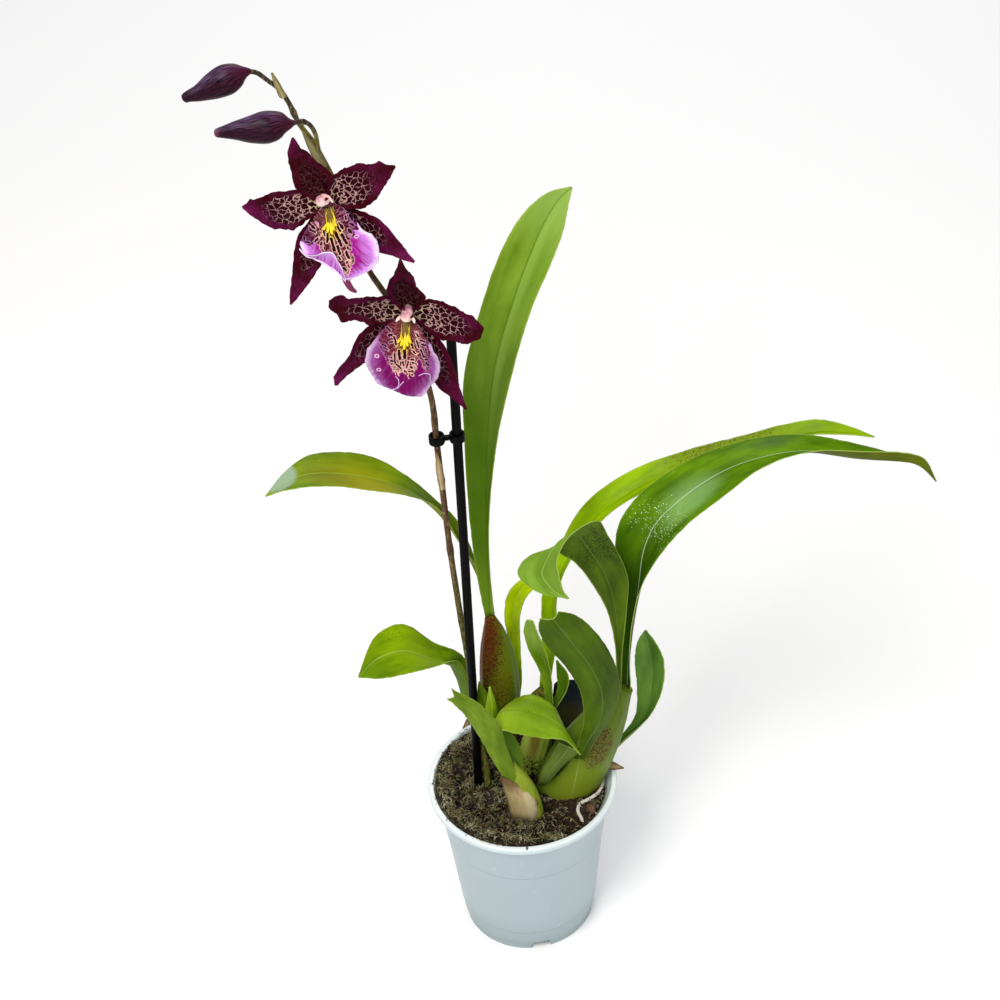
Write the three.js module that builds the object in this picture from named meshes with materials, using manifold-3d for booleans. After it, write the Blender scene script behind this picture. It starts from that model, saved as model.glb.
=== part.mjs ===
// Potted aliceara orchid: a flower spike tied to a stake, leaves on pseudobulbs, in a 12 cm plastic pot.
// Millimetres, +Z up. The origin is the middle of the pot's foot, and the blooms face -Y.
import * as THREE from 'three';
import { mergeVertices } from 'three/addons/utils/BufferGeometryUtils.js';
import Module from 'manifold-3d';

const wasm = await Module();
wasm.setup();

// Driving dimensions of the pot
const POT_HEIGHT = 117;
const RIM_RADIUS = 60;
const RIM_BAND = 5;
const LIP_WIDTH = 3.2;
const NECK_RADIUS = 54.2;
const FOOT_RADIUS = 42;
const FOOT_STEP = 1.2;
const FOOT_HEIGHT = 7;
const WALL = 1.6;
const FLOOR_LEVEL = 7.8;
const PAD_RADIUS = 11;
const LOWER_LINE = 18;
const UPPER_LINE = 79;
const LINE_STEP = 0.5;
const NOTCH_WIDTH = 10;
const NOTCH_SPREAD = 2;
const NOTCH_TURN = 8;
const NOTCHES = 4;

// Driving dimensions of what stands in it
const GAP = 0.35;
const MIX_LEVEL = 106.6;
const MIX_RISE = 5.4;
const STAKE_DIAMETER = 5.4;
const STAKE_FOOT = [-29, 6.6, 30];
const STAKE_TOP = [-24, 6.6, 462];
const CLIP_LEVEL = 389;
const CLIP_HEIGHT = 5;
const CLIP_BAND = 1.3;
const SPIKE_DIAMETER = 3.6;
const LEAF_THICKNESS = 1;
const PETAL_THICKNESS = 0.7;
const TAG_WIDTH = 22;
const TAG_STEM = 8;
const TAG_THICKNESS = 0.8;
const BLOOM_TILT = 15;
const HUB_RADIUS = 3.2;

const COLOURS = {
  pot: 0xc3d2d8,
  mix: 0x4a3c2b,
  black: 0x101012,
  stem: 0x5b4a2c,
  leaf: 0x5f8c1c,
  darkLeaf: 0x41612a,
  youngLeaf: 0x8fb526,
  bulb: 0x6b8f28,
  redBulb: 0x7a5a2a,
  husk: 0xcdb48b,
  root: 0xe4e0d2,
  bark: 0x6e4b33,
  maroon: 0x560f33,
  magenta: 0xa8379a,
  blush: 0xd7a3a6,
  yellow: 0xe2bf1c,
};

const group = new THREE.Group();

function vec(p) {
  return new THREE.Vector3(p[0], p[1], p[2]);
}

function smooth(points) {
  return new THREE.CatmullRomCurve3(points, false, 'centripetal');
}

// A value that runs through a list evenly from its first entry to its last
function along(list, t) {
  const at = t * (list.length - 1);
  const i = Math.min(Math.floor(at), list.length - 2);
  return THREE.MathUtils.lerp(list[i], list[i + 1], at - i);
}

// Joins and cuts of closed meshes
function merged(geometry) {
  geometry.deleteAttribute('normal');
  geometry.deleteAttribute('uv');
  return mergeVertices(geometry, 1e-4);
}

function toManifold(geometry) {
  const shape = merged(geometry.clone());
  const index = [];
  for (let i = 0; i < shape.index.count; i += 3) {
    const [a, b, c] = [shape.index.getX(i), shape.index.getX(i + 1), shape.index.getX(i + 2)];
    if (a !== b && b !== c && c !== a) index.push(a, b, c);
  }
  return new wasm.Manifold(new wasm.Mesh({
    numProp: 3,
    vertProperties: new Float32Array(shape.attributes.position.array),
    triVerts: new Uint32Array(index),
  }));
}

function fromManifold(solid) {
  const mesh = solid.getMesh();
  const geometry = new THREE.BufferGeometry();
  geometry.setAttribute('position', new THREE.BufferAttribute(new Float32Array(mesh.vertProperties), 3));
  geometry.setIndex(Array.from(mesh.triVerts));
  return geometry;
}

function join(first, ...rest) {
  return fromManifold(rest.reduce((solid, other) => solid.add(toManifold(other)), toManifold(first)));
}

function cut(piece, ...tools) {
  const solid = tools.reduce((left, tool) => left.subtract(toManifold(tool)), toManifold(piece));
  const parts = solid.decompose();
  const largest = parts.reduce((a, b) => (a.volume() > b.volume() ? a : b));
  return fromManifold(largest);
}

// A thin closed sheet over a grid: at(s, v) gives the middle surface, s from 0 to 1 and v from -1 to 1
function sheet({ at, steps, across, thickness }) {
  const rows = [];
  for (let i = 0; i <= steps; i += 1) {
    const row = [];
    for (let j = 0; j <= across; j += 1) row.push(at(i / steps, (2 * j) / across - 1));
    rows.push(row);
  }
  const normalAt = (i, j) => {
    const [up, down] = [rows[Math.min(i + 1, steps)][j], rows[Math.max(i - 1, 0)][j]];
    const [left, right] = [rows[i][Math.max(j - 1, 0)], rows[i][Math.min(j + 1, across)]];
    return right.clone().sub(left).cross(up.clone().sub(down)).normalize();
  };
  const positions = [];
  for (const side of [0.5, -0.5]) {
    rows.forEach((row, i) => row.forEach((p, j) => {
      positions.push(...p.clone().addScaledVector(normalAt(i, j), side * thickness).toArray());
    }));
  }
  const width = across + 1;
  const under = width * (steps + 1);
  const faces = [];
  for (let i = 0; i < steps; i += 1) {
    for (let j = 0; j < across; j += 1) {
      const a = i * width + j;
      const [b, c, d] = [a + 1, a + width + 1, a + width];
      faces.push(a, b, c, a, c, d);
      faces.push(under + a, under + c, under + b, under + a, under + d, under + c);
    }
  }
  const rim = [];
  for (let j = 0; j < across; j += 1) rim.push(j);
  for (let i = 0; i < steps; i += 1) rim.push(i * width + across);
  for (let j = across; j > 0; j -= 1) rim.push(steps * width + j);
  for (let i = steps; i > 0; i -= 1) rim.push(i * width);
  rim.forEach((a, k) => {
    const b = rim[(k + 1) % rim.length];
    faces.push(a, under + a, under + b, a, under + b, b);
  });
  const geometry = new THREE.BufferGeometry();
  geometry.setAttribute('position', new THREE.Float32BufferAttribute(positions, 3));
  geometry.setIndex(faces);
  return geometry;
}

// A leaf, bract or lip between two margins. Each row is [left margin, right margin, depth of the fold].
function blade({ rows, steps = 14, across = 4, thickness = LEAF_THICKNESS, wave = 0, waves = 5, notch = 0,
  fold = 1.5, grow = 0 }) {
  const left = smooth(rows.map((row) => vec(row[0])));
  const right = smooth(rows.map((row) => vec(row[1])));
  const folds = rows.map((row) => row[2]);
  const middle = (t) => left.getPoint(t).add(right.getPoint(t)).multiplyScalar(0.5);
  const frameAt = (t) => {
    const chord = right.getPoint(Math.min(t, 0.94)).sub(left.getPoint(Math.min(t, 0.94))).normalize();
    const run = middle(Math.min(t + 0.01, 1)).sub(middle(Math.max(t - 0.01, 0))).normalize();
    return { chord, run, face: chord.clone().cross(run).normalize() };
  };
  const at = (s, v) => {
    const { chord, run, face } = frameAt(s);
    const half = Math.max(left.getPoint(s).distanceTo(right.getPoint(s)) / 2, 0.6) + grow;
    const centre = middle(s);
    const depth = along(folds, s) * (1 - Math.abs(v) ** fold);
    const ripple = wave * Math.sin(s * waves * 2 * Math.PI + (v > 0 ? 1.3 : 0)) * Math.abs(v) ** 3;
    const ends = (s === 0 ? -grow : 0) + (s === 1 ? grow : 0);
    const dip = notch * Math.max(0, s - 0.8) * 5 * (1 - Math.abs(v));
    return centre.addScaledVector(chord, v * half)
      .addScaledVector(face, ripple * Math.min(1, half / 4) - depth)
      .addScaledVector(run, ends - dip);
  };
  return sheet({ at, steps, across, thickness: thickness + 2 * grow });
}

// A round or flattened body along a curve. Each station is [x, y, z, width, depth].
function stalk(stations, { sides = 10, steps = 8, grow = 0 } = {}) {
  const curve = smooth(stations.map(vec));
  const widths = stations.map((s) => s[3]);
  const depths = stations.map((s) => s[4] ?? s[3]);
  const positions = [];
  let wide = null;
  for (let i = 0; i <= steps; i += 1) {
    const t = i / steps;
    const run = curve.getTangent(t);
    wide = wide ? wide.addScaledVector(run, -wide.dot(run)).normalize()
      : run.clone().cross(new THREE.Vector3(0, 1, 0)).normalize();
    const deep = run.clone().cross(wide);
    const centre = curve.getPoint(t).addScaledVector(run, (i === 0 ? -grow : 0) + (i === steps ? grow : 0));
    for (let k = 0; k < sides; k += 1) {
      const turn = (2 * Math.PI * k) / sides;
      positions.push(...centre.clone()
        .addScaledVector(wide, (along(widths, t) / 2 + grow) * Math.cos(turn))
        .addScaledVector(deep, (along(depths, t) / 2 + grow) * Math.sin(turn)).toArray());
    }
  }
  const faces = [];
  for (let i = 0; i < steps; i += 1) {
    for (let k = 0; k < sides; k += 1) {
      const [a, b] = [i * sides + k, i * sides + ((k + 1) % sides)];
      faces.push(a, b, b + sides, a, b + sides, a + sides);
    }
  }
  for (let k = 1; k < sides - 1; k += 1) {
    faces.push(0, k + 1, k);
    faces.push(steps * sides, steps * sides + k, steps * sides + k + 1);
  }
  const geometry = new THREE.BufferGeometry();
  geometry.setAttribute('position', new THREE.Float32BufferAttribute(positions, 3));
  geometry.setIndex(faces);
  return geometry;
}

function add(name, geometry, colour, parent = group, roughness = 0.6) {
  const material = new THREE.MeshStandardMaterial({ color: colour, roughness, metalness: 0 });
  const mesh = new THREE.Mesh(geometry, material);
  mesh.name = name;
  parent.add(mesh);
  return mesh;
}

// The pot: a moulded wall with a rolled lip, two mould lines and a notched foot
function wallRadius(z) {
  return FOOT_RADIUS + FOOT_STEP + ((z - FOOT_HEIGHT) * (NECK_RADIUS - FOOT_RADIUS - FOOT_STEP))
    / (POT_HEIGHT - RIM_BAND - FOOT_HEIGHT);
}

function potProfile() {
  const neck = POT_HEIGHT - RIM_BAND;
  const under = FLOOR_LEVEL - WALL;
  return [
    [0, 0], [PAD_RADIUS, 0], [PAD_RADIUS + 0.5, under], [FOOT_RADIUS - 4.2, under],
    [FOOT_RADIUS - 3.6, 0], [FOOT_RADIUS, 0], [FOOT_RADIUS, FOOT_HEIGHT - 0.6],
      [wallRadius(FOOT_HEIGHT), FOOT_HEIGHT],
    [wallRadius(LOWER_LINE), LOWER_LINE], [wallRadius(LOWER_LINE) + LINE_STEP, LOWER_LINE + 1],
    [wallRadius(UPPER_LINE), UPPER_LINE], [wallRadius(UPPER_LINE) + LINE_STEP, UPPER_LINE + 1],
    [NECK_RADIUS, neck], [RIM_RADIUS - 0.4, neck + 0.5], [RIM_RADIUS, POT_HEIGHT - 1],
    [RIM_RADIUS - 1, POT_HEIGHT], [RIM_RADIUS - LIP_WIDTH, POT_HEIGHT],
      [RIM_RADIUS - LIP_WIDTH - 0.6, POT_HEIGHT - 1],
    [NECK_RADIUS - WALL, neck - 2], [wallRadius(FLOOR_LEVEL + 2) - WALL, FLOOR_LEVEL + 2],
    [wallRadius(FLOOR_LEVEL) - WALL - 2, FLOOR_LEVEL], [0, FLOOR_LEVEL],
  ].map(([r, z]) => new THREE.Vector2(r, z));
}

function makePot() {
  const wall = new THREE.LatheGeometry(potProfile(), 36);
  wall.rotateX(Math.PI / 2);
  const top = FOOT_HEIGHT - 1;
  const wide = NOTCH_WIDTH / 2 + NOTCH_SPREAD;
  const outline = new THREE.Shape();
  outline.moveTo(-wide, -1);
  outline.lineTo(wide, -1);
  outline.lineTo(NOTCH_WIDTH / 2, top);
  outline.lineTo(-NOTCH_WIDTH / 2, top);
  const notches = [];
  for (let k = 0; k < NOTCHES; k += 1) {
    const notch = new THREE.ExtrudeGeometry(outline, { depth: 12, bevelEnabled: false });
    notch.rotateX(Math.PI / 2);
    notch.translate(0, -FOOT_RADIUS + 8, 0);
    notch.rotateZ(THREE.MathUtils.degToRad(NOTCH_TURN + (360 / NOTCHES) * k));
    notches.push(notch);
  }
  return cut(wall, ...notches);
}

// The bark and moss mix, with an uneven top
function mixTop(x, y) {
  const r = Math.max(Math.hypot(x, y), 1);
  const frontLeft = 0.5 - (0.38 * x + 0.33 * y) / r;
  const heaped = MIX_RISE * Math.max(0, (r - 26) / 26) ** 2 * (0.3 + 0.7 * frontLeft);
  const lumps = Math.sin(x * 0.31 + 1) * Math.cos(y * 0.27) + 0.7 * Math.sin(x * 0.13 - y * 0.19);
  return MIX_LEVEL + heaped + 0.7 * lumps;
}

function makeMix() {
  const inner = (z) => wallRadius(z) - WALL - GAP - 0.35;
  const foot = FLOOR_LEVEL + 0.4;
  const profile = [[0, foot], [inner(foot) - 3, foot], [inner(foot + 3), foot + 3]];
  profile.push([inner(60), 60], [inner(103), 103]);
  for (const r of [inner(107), 45, 37, 28, 18, 0]) profile.push([r, MIX_LEVEL]);
  const body = new THREE.LatheGeometry(profile.map(([r, z]) => new THREE.Vector2(r, z)), 32);
  body.rotateX(Math.PI / 2);
  const place = body.attributes.position;
  for (let i = 0; i < place.count; i += 1) {
    if (place.getZ(i) < MIX_LEVEL - 1) continue;
    const [x, y] = [place.getX(i), place.getY(i)];
    const z = mixTop(x, y);
    const spread = Math.hypot(x, y) > 50 ? 0.993 + (0.26 * (z - 107)) / inner(107) : 1;
    place.setXYZ(i, x * spread, y * spread, z);
  }
  return body;
}

// Pseudobulbs and the young growth, each from under the mix to its leaf scar
const BULBS = {
  pseudobulb_left: {
    stations: [
      [-14, 42, 98, 16, 11], [-13, 42, 112, 22, 15], [-12, 42, 132, 25, 17], [-11, 42, 156, 25.5, 17],
      [-11, 42, 176, 24, 15], [-11.5, 42, 193, 20, 12], [-12.5, 41, 209, 13, 9],
      [-14, 40.5, 221, 6.5, 5],
    ],
    colour: COLOURS.redBulb,
  },
  pseudobulb_right: {
    stations: [
      [22, 1, 96, 30, 20], [28, 1, 109, 39, 26], [36, 1, 129, 40, 27], [46, 1, 150, 34, 24],
      [55, 0, 171, 25, 17], [61, -1, 185, 17, 12], [66, -2, 195, 11, 8],
    ],
    colour: COLOURS.bulb,
  },
  pseudobulb_back: {
    stations: [
      [11, 29, 98, 14, 9], [11, 29, 118, 18, 11], [11.5, 29, 140, 18, 11], [13.5, 28, 158, 13, 9],
      [17, 25.5, 169, 8, 7],
    ],
    colour: COLOURS.darkLeaf,
  },
  pseudobulb_middle: {
    stations: [
      [4, 17, 98, 13, 10], [6, 17, 114, 17, 11], [10.5, 17, 136, 17, 11], [15.5, 16.5, 152, 12, 9],
      [20.5, 15, 163, 8, 7],
    ],
    colour: COLOURS.bulb,
  },
  front_growth: {
    stations: [
      [4, -21, 98, 14, 10], [3, -21, 110, 18, 13], [0, -21, 126, 18, 13], [-4, -20.5, 140, 14, 10],
      [-8, -20, 152, 8, 6],
    ],
    colour: COLOURS.youngLeaf,
  },
};

function bulb(name, grow = 0) {
  return stalk(BULBS[name].stations, { sides: 12, steps: 8, grow });
}

// Leaves: the margins run from the base to the tip
const LEAVES = {
  leaf_tall: {
    on: ['pseudobulb_left'],
    colour: COLOURS.leaf,
    steps: 16,
    rows: [
      [[-17, 40, 221], [-11, 38, 224], 1], [[-20, 43, 250], [-12, 37, 254], 4],
      [[-22, 44, 288], [-11, 34, 298], 6], [[-22, 46, 348], [-4, 33, 357], 7],
      [[-19, 46, 403], [8, 32, 412], 8], [[-7, 49, 446], [20, 35, 451], 7],
      [[7, 54, 481], [33, 42, 478], 6], [[20, 58, 500], [40, 49, 493], 4],
      [[33, 61, 509], [43, 55, 503], 2], [[45, 62, 511], [46, 61, 511], 0],
    ],
  },
  leaf_left_upper: {
    on: ['pseudobulb_left'],
    colour: COLOURS.youngLeaf,
    steps: 15,
    rows: [
      [[-11, 43, 220], [-17, 44, 220], 0], [[-18, 46, 252], [-20, 50, 255], 2],
      [[-28, 40, 280], [-29, 46, 294], 3], [[-40, 30, 319], [-41, 40, 317], 3],
      [[-57, 14, 343], [-56, 36, 339], 2], [[-76, 2, 358], [-75, 36, 355], 3],
      [[-94, -6, 369], [-95, 30, 365], 3], [[-110, -10, 373], [-111, 20, 371], 2],
      [[-123, -11, 372], [-123, 5, 372], 1], [[-133, -10, 368], [-133, -9, 368], 0],
    ],
  },
  leaf_left_lower: {
    on: ['pseudobulb_left'],
    colour: COLOURS.youngLeaf,
    steps: 16,
    rows: [
      [[-19, 36, 110], [-18, 43, 108], 2], [[-28, 24, 150], [-26, 38, 148], 5],
      [[-30, 19, 190], [-29, 35, 184], 8], [[-36, 13, 211], [-35, 29, 203], 7],
      [[-48, 3, 217], [-49, 27, 214], 4], [[-65, -7, 222], [-67, 24, 234], 3],
      [[-81, -14, 226], [-83, 12, 237], 2], [[-94, -14, 228], [-94, -13, 229], 0],
    ],
  },
  leaf_right_wide: {
    on: ['pseudobulb_right'],
    colour: COLOURS.leaf,
    steps: 16,
    rows: [
      [[64, 1, 192], [69, -4, 194], 1], [[64, 3, 229], [69, -4, 236], 4],
      [[64, 8, 264], [75, -5, 276], 7], [[62, 13, 296], [86, -7, 303], 8],
      [[67, 14, 318], [102, -8, 327], 7], [[86, 17, 340], [120, -8, 344], 6],
      [[121, 17, 361], [145, -7, 365], 6], [[163, 12, 372], [171, -6, 373], 6],
      [[195, 6, 368], [201, -8, 372], 6], [[225, -1, 360], [224, -9, 370], 3],
      [[232, -7, 359], [232, -13, 369], 2], [[241, -9, 349], [242, -10, 349], 0],
    ],
  },
  leaf_right_curled: {
    on: ['pseudobulb_right'],
    colour: COLOURS.darkLeaf,
    steps: 16,
    rows: [
      [[59, -6, 193], [63, -6, 194], 0], [[60, -10, 230], [64, -8, 229], 2],
      [[56, -12, 264], [67, -7, 262], 3], [[48, -17, 291], [68, -5, 287], 5],
      [[36, -26, 320], [57, -9, 323], 5], [[30, -27, 326], [50, -15, 340], 3],
      [[25, -27, 331], [34, -25, 338], 1], [[10, -22, 322], [26, -40, 333], -4],
      [[4, -28, 316], [27, -45, 326], -4], [[14, -38, 310], [29, -47, 317], -3],
      [[30, -47, 312], [32, -48, 312], 0],
    ],
  },
  leaf_long: {
    on: ['pseudobulb_back'],
    colour: COLOURS.youngLeaf,
    steps: 18,
    rows: [
      [[14, 27, 169], [20, 24, 171], 1], [[17, 28, 210], [26, 20, 217], 3],
      [[19, 29, 249], [28, 20, 257], 4], [[30, 32, 281], [40, 20, 288], 4],
      [[47, 37, 310], [62, 20, 317], 5], [[74, 41, 329], [84, 25, 328], 6],
      [[109, 44, 340], [109, 27, 344], 5], [[139, 42, 349], [136, 27, 354], 5],
      [[163, 39, 358], [160, 26, 358], 5], [[182, 35, 363], [178, 24, 361], 4],
      [[198, 30, 361], [197, 23, 360], 2], [[212, 24, 357], [212, 23, 357], 0],
    ],
  },
  leaf_right_small: {
    on: ['pseudobulb_right'],
    colour: COLOURS.darkLeaf,
    rows: [
      [[49, 9, 118], [52, 6, 122], 1], [[60, 13, 131], [64, 9, 135], 2],
      [[73, 18, 148], [82, 10, 156], 3], [[75, 23, 170], [90, 13, 175], 4],
      [[74, 25, 192], [91, 15, 199], 4], [[76, 24, 208], [86, 18, 212], 2],
      [[80, 22, 218], [81, 21, 219], 0],
    ],
  },
  leaf_front_broad: {
    on: ['pseudobulb_right'],
    colour: COLOURS.darkLeaf,
    notch: 3,
    rows: [
      [[31, -10, 136], [39, -11, 134], 0], [[35, -17, 162], [44, -17, 160], -1],
      [[39, -22, 190], [56, -19, 188], -4], [[37, -27, 219], [61, -20, 210], -5],
      [[28, -31, 245], [58, -23, 237], -5], [[18, -36, 266], [47, -28, 267], -5],
      [[14, -40, 284], [35, -34, 287], -4], [[15, -42, 293], [26, -38, 294], -2],
    ],
  },
  leaf_narrow: {
    on: ['pseudobulb_middle'],
    colour: COLOURS.youngLeaf,
    steps: 10,
    rows: [
      [[18, 14, 161], [22, 12, 162], 0], [[15, 12, 196], [21, 6, 203], 2],
      [[8, 8, 223], [18, 0, 228], 3], [[6, 5, 241], [14, -2, 245], 2], [[8, 3, 251], [12, 0, 252], 0],
    ],
  },
  leaf_edge: {
    on: ['pseudobulb_middle'],
    colour: COLOURS.leaf,
    steps: 8,
    rows: [
      [[20, 16, 161], [23, 14, 162], 0], [[25, 17, 178], [31, 13, 181], 2],
      [[25, 17, 191], [32, 13, 193], 1], [[25, 17, 202], [26, 16, 203], 0],
    ],
  },
  leaf_back_yellow: {
    on: ['pseudobulb_left'],
    colour: COLOURS.youngLeaf,
    steps: 12,
    rows: [
      [[-10, 48, 108], [-5, 48, 108], 0], [[-4, 54, 144], [3, 54, 144], 1],
      [[-3, 54, 180], [4, 54, 179], 2], [[-5, 52, 210], [5, 50, 211], 3],
      [[-1, 51, 231], [10, 47, 230], 3], [[10, 50, 243], [18, 45, 241], 2],
      [[23, 46, 251], [24, 45, 250], 0],
    ],
  },
  leaf_front_left: {
    on: ['front_growth'],
    past: ['husk_front'],
    colour: COLOURS.leaf,
    notch: 5,
    rows: [
      [[-9, -24, 136], [-3, -24, 140], -1], [[-20, -26, 170], [-9, -25, 176], -3],
      [[-26, -28, 190], [-13, -25, 194], -3], [[-33, -30, 209], [-23, -27, 213], -2],
      [[-41, -32, 223], [-40, -29, 230], 0],
    ],
  },
  leaf_inner: {
    on: ['front_growth'],
    colour: COLOURS.youngLeaf,
    steps: 8,
    rows: [
      [[-11, -17, 145], [-7, -16, 145], 0], [[-22, -11, 163], [-16, -8, 162], -1],
      [[-20, -4, 184], [-13, -3, 181], -2], [[-17, -4, 203], [-16, -4, 204], 0],
    ],
  },
  leaf_hood: {
    on: ['front_growth'],
    colour: COLOURS.youngLeaf,
    steps: 16,
    across: 6,
    rows: [
      [[1, -18, 134], [-6, -22, 142], -1], [[0, -8, 152], [-13, -22, 160], -3],
      [[-6, -3, 167], [-17, -23, 179], -4], [[-6, 4, 179], [-12, -24, 186], -4],
      [[8, 3, 188], [-1, -25, 183], -3], [[21, -3, 184], [14, -26, 179], -2],
      [[28, -14, 173], [27, -27, 177], -1], [[36, -25, 163], [36, -26, 162], 0],
    ],
  },
  sheath_front: {
    on: ['pseudobulb_right'],
    past: ['leaf_front_broad'],
    colour: COLOURS.darkLeaf,
    steps: 8,
    rows: [
      [[19, -8, 121], [25, -10, 119], 0], [[13, -14, 133], [22, -16, 139], -2],
      [[18, -13, 148], [30, -17, 150], -3], [[24, -14, 163], [36, -17, 156], -1],
    ],
  },
  sheath_left: {
    on: ['pseudobulb_left'],
    past: ['leaf_left_lower'],
    colour: COLOURS.youngLeaf,
    steps: 8,
    rows: [
      [[-21, 35, 112], [-14, 34, 112], -1], [[-25, 33, 146], [-14, 31, 148], -2],
      [[-25, 33, 163], [-17, 31, 159], -1], [[-24, 33, 172], [-23, 33, 172], 0],
    ],
  },
};

// Dry pieces
const DRY = {
  husk_front: {
    colour: COLOURS.husk,
    clear: ['front_growth'],
    rows: [
      [[-8, -23, 100], [10, -24, 100], -5], [[-10, -23, 116], [10, -25, 115], -5],
      [[-12, -23, 132], [6, -25, 129], -4], [[-14, -25, 148], [-10, -26, 146], -1],
    ],
  },
  husk_back: {
    colour: COLOURS.husk,
    clear: [],
    rows: [
      [[-40, 50, 100], [-29, 52, 100], -2], [[-38, 51, 110], [-30, 52, 110], -2],
      [[-34, 52, 120], [-33, 52, 120], 0],
    ],
  },
  dry_tip: {
    colour: COLOURS.husk,
    clear: ['pseudobulb_right'],
    rows: [
      [[44, 11, 108], [44, 5, 108], 1], [[53, 9, 118], [53, 2, 117.5], 1],
      [[59, 6, 120], [59, 0, 119.5], 1], [[64.5, 1, 120], [64.5, 0, 120], 0],
    ],
  },
  bark_chip: {
    colour: COLOURS.bark,
    clear: [],
    rows: [
      [[38.5, -21, 108], [42, -17, 108], 1], [[40, -25, 110], [45, -20.5, 110], 1.5],
      [[42, -28, 109], [44, -25.5, 109], 1],
    ],
  },
};

function dryPiece(name, grow = 0) {
  return blade({ rows: DRY[name].rows, steps: 6, across: 4, thickness: 0.8, grow });
}

// The stake and the clip that holds the spike to it
function makeStake(grow = 0) {
  const width = STAKE_DIAMETER;
  const [foot, top] = [vec(STAKE_FOOT), vec(STAKE_TOP)];
  const near = top.clone().lerp(foot, 0.006);
  return stalk([[...foot.toArray(), width], [...near.toArray(), width], [...top.toArray(), width]],
    { sides: 12, steps: 2, grow });
}

function onStake(z) {
  return vec(STAKE_FOOT).lerp(vec(STAKE_TOP), (z - STAKE_FOOT[2]) / (STAKE_TOP[2] - STAKE_FOOT[2]));
}

function drum(centre, radius, height) {
  const body = new THREE.CylinderGeometry(radius, radius, height, 16);
  body.rotateX(Math.PI / 2);
  body.translate(centre.x, centre.y, centre.z);
  return body;
}

function makeClip() {
  const stake = onStake(CLIP_LEVEL);
  const stem = vec([-36.2, 5, CLIP_LEVEL + 0.5]);
  const [stakeBore, stemBore] = [STAKE_DIAMETER / 2 + GAP, SPIKE_DIAMETER / 2 + 1.4];
  const bridge = new THREE.BoxGeometry(stake.distanceTo(stem), 3, 2.4);
  bridge.rotateZ(Math.atan2(stake.y - stem.y, stake.x - stem.x));
  bridge.translate((stake.x + stem.x) / 2, (stake.y + stem.y) / 2, CLIP_LEVEL);
  const stakeRing = drum(stake, stakeBore + CLIP_BAND, CLIP_HEIGHT);
  const stemRing = drum(stem, stemBore + CLIP_BAND, CLIP_HEIGHT);
  const body = join(stakeRing, stemRing, bridge);
  return cut(body, drum(stake, stakeBore, 20), drum(stem, stemBore, 20));
}

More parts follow.
